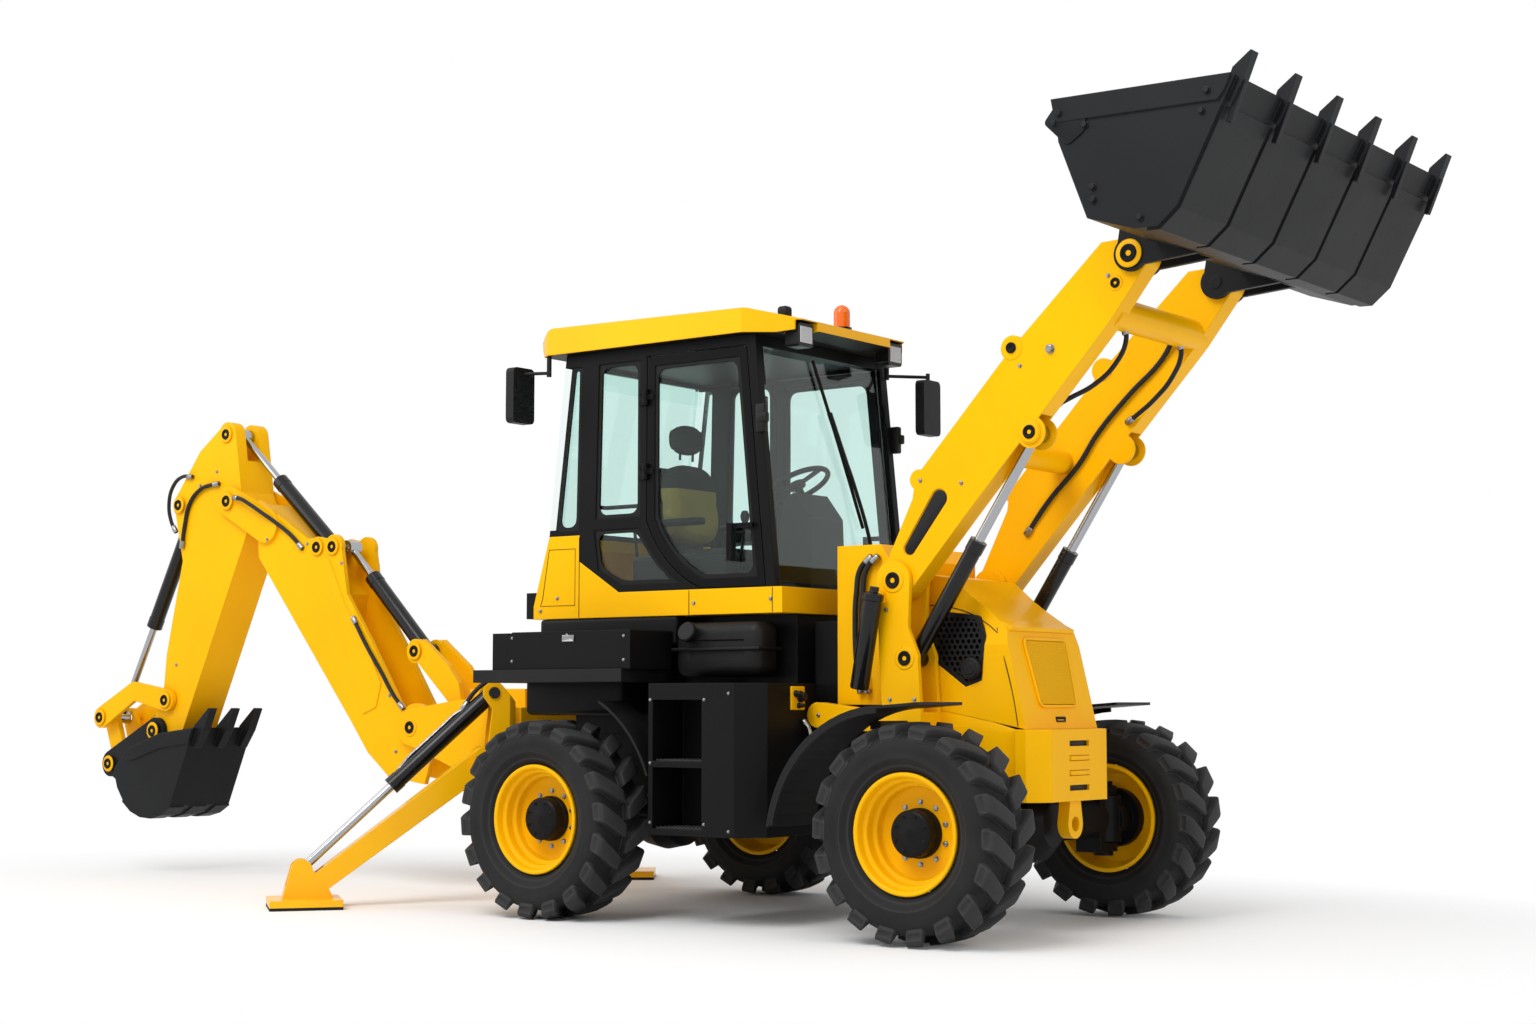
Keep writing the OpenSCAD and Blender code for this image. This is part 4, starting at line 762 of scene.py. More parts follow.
def tyreModel():
    half = tyreSet["casing"]
    profile = half + [(r, -y) for r, y in reversed(half[:-1])] + [half[0]]
    casing = turned(profile, (0, 0, 0), (0, 0, 1), 108)
    casing.data.transform(Matrix.Rotation(math.radians(90), 4, "X"))
    casing.data.materials.append(rubber)
    pitch = 360 / tyreSet["lugs"]
    lugs = []
    for side, shift in ((1, 0.0), (-1, pitch / 2)):
        first = lugPiece(side, shift)
        lugs.append(first)
        for i in range(1, tyreSet["lugs"]):
            lug = linked("lug", first.data.copy())
            lug.data.transform(Matrix.Rotation(math.radians(pitch * i), 4, "Y"))
            lugs.append(lug)
    return joinAll([casing] + lugs)


def makeTyres():
    model = tyreModel()
    for name in ("front_right", "front_left", "rear_right", "rear_left"):
        low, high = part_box("tyre_" + name)
        middle = (low + high) / 2
        middle.z = low.z + tyreR
        tyre = linked("tyre", model.data.copy())
        tyre.data.transform(Matrix.Translation(middle) @ Matrix.Rotation(rng.uniform(0, 6.0), 4, "Y"))
        finishPiece(tyre, "tyre" + name.title().replace("_", ""), None, "wheel_" + name, 32)
        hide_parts("tyre_" + name)
    dropTemplates(model)


makeTyres()
print("tyres spun and lugged")


# Rims, wheel bolts and hubs

rimSet = {
    "profile": [(0.272, 0.128), (0.2755, 0.138), (0.2755, 0.1465), (0.271, 0.151), (0.262, 0.151), (0.255, 0.146),
                (0.251, 0.132), (0.249, 0.112), (0.2435, 0.106), (0.236, 0.104), (0.232, 0.098), (0.230, 0.062),
                (0.226, 0.056), (0.216, 0.053), (0.211, 0.047), (0.208, 0.018), (0.202, 0.011), (0.190, 0.010),
                (0.100, 0.010), (0.100, -0.014), (0.205, -0.014), (0.224, -0.022), (0.236, -0.050), (0.246, -0.110),
                (0.256, -0.1465), (0.2755, -0.1465), (0.2755, -0.135), (0.262, -0.115), (0.256, -0.05), (0.256, 0.05),
                (0.262, 0.115), (0.272, 0.128)],
    "hub": [(0, 0.106), (0.030, 0.106), (0.033, 0.104), (0.092, 0.104), (0.101, 0.100), (0.107, 0.092), (0.107, 0.040),
            (0.1135, 0.034), (0.1135, 0.006), (0, 0.006)],
    "ring": 0.140, "bolts": 10, "size": 1.25, "disc": 0.010, "end": 0.104, "capRing": 0.084, "capBolts": 8,
}


def makeWheels():
    halfTrack = abs(wheelLow.y + wheelHigh.y) / 2
    for name, x, side in (("front_right", frontX, -1), ("front_left", frontX, 1), ("rear_right", rearX, -1),
                          ("rear_left", rearX, 1)):
        axis, body, label = (0, side, 0), "wheel_" + name, name.title().replace("_", "")
        centre = Vector((x, side * halfTrack, tyreR))
        rim = turned(rimSet["profile"], centre, axis, 72)
        finishPiece(rim, "rim" + label, yellow, body, 28)
        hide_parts("rim_" + name)
        bolts, hub = [], [turned(rimSet["hub"], centre, axis, 48)]
        for count, ring, out, size, parts in ((rimSet["bolts"], rimSet["ring"], rimSet["disc"], rimSet["size"], bolts),
                                              (rimSet["capBolts"], rimSet["capRing"], rimSet["end"], 0.8, hub)):
            for i in range(count):
                a = 2 * math.pi * (i + 0.5) / count
                spot = centre + Vector((ring * math.cos(a), side * out, ring * math.sin(a)))
                parts.append(copyTo(boltModel, spot, axis, size, a))
        finishPiece(joinAll(bolts), "wheelBolts" + label, zinc, body)
        finishPiece(joinAll(hub), "hub" + label, black, body)


makeWheels()
print("rims, wheel bolts and hubs in place")


# Pins, bolts and pipes on the loader

armSet = {
    "pins": [(1.810, 0.530, 1.670, 0.040), (2.560, 0.511, 2.335, 0.033), (3.010, 0.499, 2.985, 0.024)],
    "liftPins": [(1.876, 0.530, 1.296, 0.036)], "bucketPins": [(3.100, 0.540, 3.105, 0.042)],
    "bolts": [(2.973, 3.023), (2.505, 2.650), (1.950, 2.145), (2.180, 2.120)],
    "studs": [(2.668, 2.714)], "studSize": 2.2,
    "towerBolts": [(1.772, 1.530), (1.930, 1.100), (1.790, 1.100), (1.860, 0.985), (1.360, 1.025)],
    "panel": {"low": (1.885, 1.820), "high": (2.055, 2.055), "ends": (0.028, 0.040), "face": (0.488, 0.495),
              "steps": 12},
    "ear": {"place": (2.462, 0.376, 2.738), "pins": [(2.462, 0.504, 2.738, 0.026)],
            "profile": [(0, 0), (0.054, 0), (0.060, 0.006), (0.060, 0.122), (0.054, 0.128), (0, 0.128)]},
    "armHose": [(2.02, 0.372, 1.93), (2.16, 0.366, 2.10), (2.33, 0.366, 2.27), (2.44, 0.366, 2.42), (2.62, 0.364, 2.60),
                (2.80, 0.366, 2.76), (2.90, 0.34, 2.90)],
    "bucketHose": [(2.600, 0.370, 2.460), (2.68, 0.345, 2.50), (2.79, 0.305, 2.56), (2.89, 0.285, 2.65),
                   (2.945, 0.28, 2.76), (2.935, 0.28, 2.83)],
}


def panelOutline(spec):                   # a bar with round ends, wider at its head
    low, high = Vector(spec["low"]), Vector(spec["high"])
    turn = math.atan2(high.y - low.y, high.x - low.x)
    outline = []
    for centre, radius, start in ((low, spec["ends"][0], turn + math.pi / 2),
                                  (high, spec["ends"][1], turn - math.pi / 2)):
        for i in range(spec["steps"] + 1):
            a = start + math.pi * i / spec["steps"]
            outline.append((centre.x + radius * math.cos(a), centre.y + radius * math.sin(a)))
    return outline


def makeLoader():
    capRow("armPinCaps", "arms", pinEnds(armSet["pins"]))
    capRow("liftFootCaps", "lift_tubes", pinEnds(armSet["liftPins"]))
    capRow("bucketPinCaps", "front_bucket", pinEnds(armSet["bucketPins"]))
    bolts = sideBolts(armSet["bolts"], 1.0) + sideBolts(armSet["studs"], armSet["studSize"])
    boltRow("armBolts", "arms", "loader_arms", bolts)
    boltRow("towerBolts", "chassis", "loader_tower", sideBolts(armSet["towerBolts"], 1.0))
    outline = panelOutline(armSet["panel"])
    near, far = armSet["panel"]["face"]
    x, y, z = armSet["ear"]["place"]
    for side, name in bothSides:
        panel = plate([outline], side * near, side * far)
        roundEdges(panel, 0.002, 2)
        finishPiece(panel, "armPanel" + name, trim, "arms")
        ear = turned(armSet["ear"]["profile"], at(x, side * y, z), (0, side, 0), 40)
        finishPiece(ear, "armEar" + name, yellow, "arms")
    capRow("armEarCaps", "arms", pinEnds(armSet["ear"]["pins"]), boss=False)
    for side, name in bothSides:
        hose("armHose" + name, "arms", mirrored(armSet["armHose"], side), 0.013)
        hose("bucketHose" + name, "arms", mirrored(armSet["bucketHose"], side), 0.012)


makeLoader()
print("loader pins, bolts and hoses")


# Loader bucket: bolts and ears on the side plates

bucketSet = {
    "bolts": [(3.226, 3.545), (3.261, 3.271), (3.262, 3.215), (3.481, 3.112), (3.770, 3.521), (3.800, 3.600)],
    "ear": [(3.026, 3.580), (3.096, 3.661), (3.164, 3.646), (3.235, 3.590), (3.225, 3.520), (3.140, 3.467)],
    "earBolts": [(3.105, 3.612), (3.080, 3.570)], "earFace": (1.150, 1.168), "size": 1.7,
}


def makeBucketBolts():
    near, far = bucketSet["earFace"]
    size = bucketSet["size"]
    boltRow("loaderBucketBolts", "front_bucket", "loader_bucket", sideBolts(bucketSet["bolts"], size), trim)
    for side, name in bothSides:
        ear = plate([rounded(bucketSet["ear"], 0.022)], side * near, side * far)
        roundEdges(ear, 0.003, 2)
        bolts = [copyTo(boltModel, at(x, side * far, z), (0, side, 0), size) for x, z in bucketSet["earBolts"]]
        finishPiece(joinAll([ear] + bolts), "bucketEar" + name, bucketBlack, "front_bucket")


makeBucketBolts()


# Pins, bolts and hoses on the digging arm

hoeSet = {
    "pins": {
        "boomPinCaps": ("boom", [(-1.800, 0.196, 0.943, 0.036), (-2.526, 0.160, 2.033, 0.034)]),
        "dipperPinCaps": ("dipper", [(-3.478, 0.190, 2.359, 0.036), (-3.547, 0.145, 2.793, 0.034)]),
        "boomTubeCaps": ("boom_tube", [(-1.860, 0.110, 1.390, 0.034)]),
        "dipperTubeCaps": ("dipper_tube", [(-2.665, 0.160, 2.035, 0.034)]),
        "bucketTubeCaps": ("bucket_tube", [(-3.991, 0.155, 2.363, 0.034)]),
        "tippingCaps": ("tip_link", [(-4.057, 0.181, 1.104, 0.034), (-4.720, 0.181, 0.991, 0.034)]),
        "hoeBucketCaps": ("rear_bucket", [(-4.158, 0.192, 0.907, 0.036)]),
        "pullLinkCaps": ("pull_link", [(-4.604, 0.192, 0.690, 0.034)]),
    },
    "boomBolts": [(-2.020, 1.130), (-1.960, 0.800), (-2.450, 1.930), (-2.760, 2.060), (-3.100, 2.100)],
    "dipperBolts": [(-3.640, 2.560), (-3.800, 2.480), (-3.420, 2.260), (-4.000, 1.330)],
    "hoses": {
        "dipperHose": ("dipper", 0.013, [(-3.955, -0.150, 2.080), (-3.930, -0.150, 2.230), (-3.880, -0.152, 2.370),
                                         (-3.770, -0.155, 2.455), (-3.680, -0.153, 2.475), (-3.600, -0.150, 2.480)]),
        "dipperLoop": ("dipper", 0.012, [(-3.860, -0.150, 2.540), (-3.965, -0.150, 2.545), (-4.060, -0.145, 2.490),
                                         (-4.105, -0.140, 2.380), (-4.090, -0.130, 2.260), (-4.050, -0.120, 2.190)]),
        "boomHose": ("boom", 0.013, [(-3.395, -0.200, 2.375), (-3.320, -0.214, 2.365), (-3.220, -0.212, 2.320),
                                     (-3.120, -0.204, 2.265), (-3.020, -0.176, 2.200), (-2.900, -0.162, 2.120),
                                     (-2.790, -0.160, 2.030)]),
        "footHose": ("boom", 0.012, [(-2.330, -0.165, 1.600), (-2.210, -0.165, 1.430), (-2.080, -0.165, 1.270),
                                     (-1.970, -0.165, 1.130), (-1.890, -0.160, 1.050)]),
    },
}


def makeHoe():
    for name, (body, pins) in hoeSet["pins"].items():
        capRow(name, body, pinEnds(pins))
    boltRow("boomBolts", "boom", "hoe_boom", sideBolts(hoeSet["boomBolts"], 1.0))
    boltRow("dipperBolts", "dipper", "hoe_dipper", sideBolts(hoeSet["dipperBolts"], 1.0))
    for name, (body, radius, path) in hoeSet["hoses"].items():
        hose(name, body, path, radius)


makeHoe()
print("digging arm pins and hoses")


# Stabiliser pipes

legSet = {"hinge": (-0.85, 0.56, 0.78), "splay": 38.0, "foot": (-0.04, 0.36), "eye": (0.97, -0.58),
          "reach": (0.14, 0.50)}


def legPoint(side, along, lift):          # a place on the line of a stabiliser's cylinder
    (u0, w0), (u1, w1) = legSet["foot"], legSet["eye"]
    u, w = u0 + (u1 - u0) * along, w0 + (w1 - w0) * along + lift
    a = math.radians(90 + legSet["splay"])
    x, y, z = legSet["hinge"]
    return (x + u * math.cos(a), side * (y + u * math.sin(a)), z + w)


def makeLegPipes():
    first, last = legSet["reach"]
    for side, name in ((-1, "right"), (1, "left")):
        steps = [legPoint(side, first + (last - first) * i / 6, 0.050 if i in (0, 6) else 0.072) for i in range(7)]
        hose("legPipe" + name.title(), name + "_leg_tube", steps, 0.008, zinc, 0.03)
        path = [legPoint(side, 0.16, 0.060), legPoint(side, 0.09, 0.095), legPoint(side, 0.02, 0.085),
                legPoint(side, -0.05, 0.050)]
        hose("legHose" + name.title(), name + "_leg_tube", path, 0.012)


makeLegPipes()
print("stabiliser pipes")


# Cab: seat, levers, wiper, inner bars, lamps, seams, window bands

seatSet = {
    "cushion": {"low": (0.125, -0.225, 1.792), "high": (0.575, 0.225, 1.885), "lean": 0.0, "plane": (0, 1),
                "corner": 5.0},
    "back": {"low": (0.090, -0.215, 1.930), "high": (0.180, 0.215, 2.385), "lean": -7.0, "plane": (1, 2),
             "corner": 3.2},
    "headrest": {"low": (0.072, -0.125, 2.425), "high": (0.150, 0.125, 2.600), "lean": -4.0, "plane": (1, 2),
                 "corner": 2.5},
    "voxel": 0.006, "pressure": 4.0, "cap": 0.016, "frames": 20,
    "shell": [((0.215, -0.120, 1.572), (0.460, 0.120, 1.720), 0.03),
              ((0.140, -0.200, 1.722), (0.560, 0.200, 1.780), 0.02),
              ((0.062, -0.190, 1.900), (0.088, 0.190, 2.350), 0.012)],
    "armRest": {"y": 0.262, "half": 0.028, "x": (0.150, 0.440), "z": (2.020, 2.060), "rounding": 0.016, "segments": 3},
    "armPost": {"y": 0.245, "half": 0.012, "x": (0.110, 0.170), "z": (1.780, 2.050), "rounding": 0.010, "segments": 2},
}


def padShape(spec):                       # a box with rounded sides and corners, before it is filled
    low, high = at(*spec["low"]), at(*spec["high"])
    centre, half = (low + high) / 2, (high - low) / 2
    pad = boxPiece(low, high, 0.028, 4)
    applyModifier(pad, "REMESH", mode="VOXEL", voxel_size=seatSet["voxel"])
    u, v = spec["plane"]
    for vertex in pad.data.vertices:
        du, dv = (vertex.co[u] - centre[u]) / half[u], (vertex.co[v] - centre[v]) / half[v]
        most = max(abs(du), abs(dv), 0.001)
        pull = (abs(du) ** spec["corner"] + abs(dv) ** spec["corner"]) ** (1 / spec["corner"]) / most
        vertex.co[u] = centre[u] + du * half[u] / pull
        vertex.co[v] = centre[v] + dv * half[v] / pull
    if spec["lean"]:
        pad.data.transform(Matrix.Translation(centre) @ Matrix.Rotation(math.radians(spec["lean"]), 4, "Y")
                           @ Matrix.Translation(-centre))
    return pad


def inflate(pad):                         # cloth under pressure, with a cap on how far a point may go
    start = [v.co.copy() for v in pad.data.vertices]
    take(pad)
    cloth = pad.modifiers.new("filling", "CLOTH")
    cloth.settings.quality = 4
    cloth.settings.use_pressure = True
    cloth.settings.uniform_pressure_force = seatSet["pressure"]
    cloth.settings.effector_weights.gravity = 0
    cloth.collision_settings.use_collision = False
    cloth.point_cache.frame_start, cloth.point_cache.frame_end = 1, seatSet["frames"]
    for number in range(1, seatSet["frames"] + 1):
        bpy.context.scene.frame_set(number)
    take(pad)
    bpy.ops.object.modifier_apply(modifier=cloth.name)
    bpy.context.scene.frame_set(1)
    for vertex, rest in zip(pad.data.vertices, start):
        step = vertex.co - rest
        if step.length > seatSet["cap"]:
            vertex.co = rest + step.normalized() * seatSet["cap"]


def makeSeat():
    for key, finish in (("cushion", seatDark), ("back", seatTan), ("headrest", seatDark)):
        pad = padShape(seatSet[key])
        inflate(pad)
        applyModifier(pad, "SUBSURF", levels=1, render_levels=1)
        finishPiece(pad, "seat" + key.title(), finish, "chassis", 60)
    frameParts = [boxPiece(at(*low), at(*high), rounding, 3) for low, high, rounding in seatSet["shell"]]
    for y in (-0.055, 0.055):
        frameParts.append(tubeAlong([at(0.110, y, 2.400), at(0.112, y, 2.450)], 0.007))
    for side in (-1, 1):
        for spec in (seatSet["armRest"], seatSet["armPost"]):
            (x0, x1), (z0, z1), y, half = spec["x"], spec["z"], side * spec["y"], spec["half"]
            frameParts.append(boxPiece(at(x0, y - half, z0), at(x1, y + half, z1), spec["rounding"], spec["segments"]))
    shell = finishPiece(joinAll(frameParts), "seatShell", trim, "chassis")
    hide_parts("seat")


leverSet = {
    "places": [(0.74, -0.24, 0.03), (0.70, -0.31, 0.05), (-0.02, -0.22, -0.05), (-0.02, 0.22, -0.05),
               (0.02, -0.12, -0.04)],
    "knob": [(0, 0), (0.014, 0.002), (0.022, 0.020), (0.024, 0.040), (0.016, 0.062), (0, 0.066)],
    "boot": [(0.030, 0), (0.024, 0.020), (0.012, 0.050), (0.0095, 0.075)],
    "boxes": [((0.16, -0.520, 1.575), (0.80, -0.400, 1.850)), ((-0.26, 0.300, 1.600), (0.50, 0.520, 1.860)),
              ((0.90, -0.470, 1.575), (1.05, -0.250, 1.700))],
    "bars": [([(-0.03, -0.540, 2.115), (-0.03, -0.500, 2.115), (0.28, -0.500, 2.115), (0.28, -0.540, 2.115)], 0.011),
             ([(1.035, -0.540, 2.30), (1.015, -0.490, 2.30), (1.015, -0.490, 2.62), (1.02, -0.540, 2.62)], 0.012)],
}


def makeLevers():
    parts = []
    for x, y, lean in leverSet["places"]:
        parts.append(tubeAlong([at(x, y, 1.58), at(x + lean * 0.4, y, 1.78), at(x + lean, y, 2.02)], 0.009))
        parts.append(turned(leverSet["knob"], at(x + lean, y, 2.01), (0, 0, 1), 20))
        parts.append(turned(leverSet["boot"], at(x, y, 1.575), (0, 0, 1), 20))
    finishPiece(joinAll(parts), "cabLevers", trim, "chassis")
    boxes = [boxPiece(at(*low), at(*high), 0.03, 3) for low, high in leverSet["boxes"]]
    finishPiece(joinAll(boxes), "cabSideBoxes", trim, "chassis")
    bars = [tubeAlong([at(*point) for point in path], radius, 10, False) for path, radius in leverSet["bars"]]
    finishPiece(joinAll(bars), "cabBars", trim, "chassis")


wiperSet = {"pivot": (0.30, 1.72), "elbow": (0.16, 2.24), "low": (0.24, 2.00), "high": (-0.09, 2.86)}


def screenPoint(y, z, out):               # a place in front of the windscreen
    return at(1.150 - (z - 1.660) * 0.1016 + out, y, z)


def makeWiper():
    (py, pz), (ey, ez) = wiperSet["pivot"], wiperSet["elbow"]
    (ly, lz), (hy, hz) = wiperSet["low"], wiperSet["high"]
    parts = [tubeAlong([screenPoint(py, pz, 0.000), screenPoint(py - 0.03, pz + 0.12, 0.022),
                        screenPoint(ey, ez, 0.012), screenPoint((ly + hy) / 2, (lz + hz) / 2, 0.006)], 0.0105),
             tubeAlong([screenPoint(ly, lz, -0.006), screenPoint((ly + hy) / 2, (lz + hz) / 2, -0.002),
                        screenPoint(hy, hz, -0.006)], 0.009),
             tubeAlong([screenPoint(ly - 0.10, lz + 0.27, 0.010), screenPoint(hy + 0.09, hz - 0.27, 0.010)], 0.014),
             turned([(0, 0), (0.026, 0), (0.026, 0.010), (0.016, 0.022), (0, 0.022)], screenPoint(py, pz, -0.004),
                    (1, 0, 0.1), 20)]
    finishPiece(joinAll(parts), "wiper", seal, "chassis")


def makeRoofLamps():
    tree = nodeTree("lamps")
    for side, name in bothSides:
        spot = tree.ray_cast(at(2.0, side * 0.406, 2.935), Vector((-1, 0, 0)))[0]
        lens = boxPiece(spot + Vector((-0.002, -0.050, -0.042)), spot + Vector((0.006, 0.050, 0.042)), 0.008, 3)
        editFaces(lens, lambda face: face.normal.x > 0.9 and face.area > 0.004)
        bpy.ops.mesh.subdivide(number_cuts=7)
        bpy.ops.mesh.inset(thickness=0.0012, depth=-0.0016, use_individual=True)
        endEdit()
        finishPiece(lens, "workLampLens" + name, lampGlass, "chassis", 20)


cabSeamSet = {
    "radius": 0.0022, "face": 0.5852,
    "lines": [[(-0.146, 1.536), (-0.146, 1.960)], [(0.600, 1.534), (0.600, 1.656)], [(1.130, 1.534), (1.130, 1.656)],
              [(-0.405, 1.640), (-0.360, 1.900), (-0.175, 1.900), (-0.175, 1.600), (-0.420, 1.600), (-0.405, 1.640)]],
}


def makeCabSeams():
    parts = []
    for side in (-1, 1):
        for line in cabSeamSet["lines"]:
            parts.append(tubeAlong([at(x, side * cabSeamSet["face"], z) for x, z in line], cabSeamSet["radius"], 8,
                                   False))
    finishPiece(joinAll(parts), "cabBaseSeams", seal, "chassis")
    for side, name in bothSides:
        block = boxPiece(at(1.050, side * 0.603 - 0.020, 2.430), at(1.104, side * 0.603 + 0.020, 2.575), 0.008, 2)
        lugTop = boxPiece(at(1.060, side * 0.612 - 0.016, 2.480), at(1.122, side * 0.612 + 0.016, 2.530), 0.008, 2)
        finishPiece(joinAll([block, lugTop]), "pillarBlock" + name, trim, "chassis")


def doorCurve(a):                         # the door's lower rear edge, from its hinge side at 0 to its sill at 90
    turn = math.radians(a)
    return (0.320 + 0.18 * (1 - math.cos(turn) + a / 90), 2.025 - 0.1795 * (math.sin(turn) + a / 90))


windowSet = {
    "door": [(0.320, 2.880)] + [doorCurve(a) for a in range(0, 91, 15)] + [(1.085, 1.666), (0.965, 2.880)],
    "quarter": [(-0.045, 1.990), (-0.015, 1.780), (0.140, 1.700)] + [(x - 0.07, z) for x,
                                                                     z in map(doorCurve, range(76, 19, -14))]
               + [(0.252, 1.990)],
    "side": [(-0.035, 2.050), (0.270, 2.050), (0.270, 2.870), (-0.015, 2.870)],
    "rear": [(-0.310, 1.995), (-0.155, 1.995), (-0.135, 2.870), (-0.200, 2.870)],
    "rail": 0.048, "lip": 0.010, "band": 0.020, "corner": 0.055, "face": (0.570, 0.579),
    "roofKnob": ((1.040, -0.432, 3.030), (1.104, -0.372, 3.096)),
}


def makeWindowBands():                    # black bands round the panes, with rounded corners
    near, far = windowSet["face"]
    for side, name in bothSides:
        for key, body, inset in (("door", name.lower() + "_door", windowSet["rail"]), ("quarter", "chassis", 0.0),
                                 ("side", "chassis", 0.0), ("rear", "chassis", 0.0)):
            outer = shrunk(windowSet[key], inset - windowSet["lip"])
            inner = rounded(shrunk(windowSet[key], inset + windowSet["band"]), windowSet["corner"])
            band = plate([outer, inner], side * near, side * far)
            finishPiece(band, key + "Band" + name, seal, body, 40)
    low, high = windowSet["roofKnob"]
    knob = boxPiece(at(*low), at(*high), 0.018, 3)
    editFaces(knob, lambda face: face.normal.x > 0.9 and face.area > 0.0003)
    bpy.ops.mesh.inset(thickness=0.006, depth=-0.004)
    endEdit()
    finishPiece(knob, "roofKnob", trim, "chassis")


makeCabSeams()
makeWindowBands()
makeSeat()
makeLevers()
makeWiper()
makeRoofLamps()
print("cab fitted out")


# Lower sides: step treads, latches, bolts, rams by the tower, tanks

stepSet = {"x": (0.672, 0.968), "y": (0.735, 0.940), "tops": (0.4705, 0.8005), "bars": 6, "teeth": 24}


def makeSteps():
    (x0, x1), (y0, y1) = stepSet["x"], stepSet["y"]
    for side, name in bothSides:
        bars = []
        for top in stepSet["tops"]:
            for i in range(stepSet["bars"]):
                y = y0 + (y1 - y0) * (i + 0.5) / stepSet["bars"]
                bar = boxPiece(at(x0, side * y - 0.004, top - 0.001), at(x1, side * y + 0.004, top + 0.010), 0, 1)
                editEdges(bar, lambda a, b: abs(a.x - b.x) > 0.1)
                bpy.ops.mesh.subdivide(number_cuts=stepSet["teeth"] - 1)
                endEdit()
                for vertex in bar.data.vertices:      # every second pair of corners goes down: a saw edge
                    number = round((vertex.co.x - at(x0, 0, 0).x) / (x1 - x0) * stepSet["teeth"])
                    if vertex.co.z > top + 0.005 and number % 2:
                        vertex.co.z -= 0.005
                bars.append(bar)
        finishPiece(joinAll(bars), "stepTreads" + name, treadSteel, "chassis", 20)


sideSet = {
    "towerRam": {"foot": (1.650, -0.585, 1.150), "head": (1.742, -0.585, 1.640), "radius": 0.046},
    "boxBolts": [(-0.30, 1.30), (-0.30, 1.42), (0.46, 1.30), (0.46, 1.42), (0.08, 1.43)],
    "stepBolts": [(0.652, 0.50), (0.652, 0.79), (0.652, 1.10), (0.990, 0.50), (0.990, 1.10), (1.140, 0.47),
                  (1.140, 1.13)],
    "baseBolts": [(0.632, 1.591), (-0.300, 1.640), (-0.420, 1.575), (1.120, 1.600)],
}


def makeSideGear():
    boltRow("toolBoxBolts", "chassis", "tool_boxes", sideBolts(sideSet["boxBolts"], 0.75))
    boltRow("stepBoxBolts", "chassis", "step_boxes", sideBolts(sideSet["stepBolts"], 0.75))
    boltRow("cabBaseBolts", "chassis", "cab_base", sideBolts(sideSet["baseBolts"], 1.0))
    for side, name in bothSides:
        latch = boxPiece(at(0.050, side * 0.9325 - 0.005, 1.395), at(0.130, side * 0.9325 + 0.005, 1.430), 0.004, 2)
        editFaces(latch, lambda face: abs(face.normal.y) > 0.9 and face.area > 0.001)
        bpy.ops.mesh.inset(thickness=0.007, depth=-0.004)
        endEdit()
        finishPiece(latch, "boxLatch" + name, zinc, "chassis")
        ram = sideSet["towerRam"]
        foot, top = Vector(ram["foot"]), Vector(ram["head"])
        foot.y, top.y = -side * foot.y, -side * top.y
        r, reach = ram["radius"], (top - foot).length
        body = turned([(0, 0), (r * 0.9, 0), (r, 0.008), (r, reach * 0.86), (r * 1.12, reach * 0.865),
                       (r * 1.12, reach * 0.93), (r * 0.8, reach * 0.94), (r * 0.5, reach * 0.95), (r * 0.5, reach),
                       (0, reach)],
                      at(*foot), top - foot, 32)
        body.data.materials.append(barrelBlack)
        parts = [body]
        for place in (foot.lerp(top, 0.06), foot.lerp(top, 0.90)):
            bracket = boxPiece(at(place.x - 0.035, side * 0.5555 - 0.027, place.z - 0.03),
                               at(place.x + 0.035, side * 0.5555 + 0.027, place.z + 0.03), 0.008, 2)
            bracket.data.materials.append(yellow)
            parts.append(bracket)
        finishPiece(joinAll(parts), "towerRam" + name, None, "chassis")
        for k, shift in enumerate((0.0, 0.042)):
            y = side * (0.418 + 0.006 * k)
            path = [(1.545 + shift, y, 1.130), (1.520 + shift, y, 1.280), (1.512 + shift, y, 1.450),
                    (1.520 + shift, y, 1.620), (1.548 + shift, y, 1.745), (1.610 + shift, y * 0.985, 1.800)]
            hose(f"cowlHose{name}{k}", "chassis", path, 0.0135)


tankSet = {
    "tank": ((0.545, 0.452, 1.215), (1.085, 0.640, 1.490)), "flange": ((0.535, 0.446, 1.345), (1.095, 0.652, 1.362)),
    "tray": ((-0.420, 0.300, 1.380), (0.520, 0.592, 1.529)), "arch": ((-0.480, 0.440, 1.020), (0.200, 0.640, 1.240)),
    "switch": ((1.288, 0.545, 1.050), (1.300, 0.655, 1.165)),
    "cap": [(0.038, 0), (0.038, 0.030), (0.050, 0.032), (0.052, 0.055), (0.046, 0.062), (0, 0.062)],
    "capPlace": (0.660, 0.630, 1.425), "capLean": 0.35,
    "knobs": [(0.585, 1.115, 0.022), (0.625, 1.130, 0.013), (0.600, 1.072, 0.011)], "knobFoot": 1.300,
    "pipe": [(1.300, 0.560, 1.000), (1.335, 0.560, 0.960), (1.345, 0.565, 0.800), (1.350, 0.590, 0.700),
             (1.345, 0.640, 0.655), (1.300, 0.680, 0.640)],
}


def sideBlock(key, side, rounding):
    (x0, y0, z0), (x1, y1, z1) = tankSet[key]
    return boxPiece(at(x0, min(side * y0, side * y1), z0), at(x1, max(side * y0, side * y1), z1), rounding, 4)


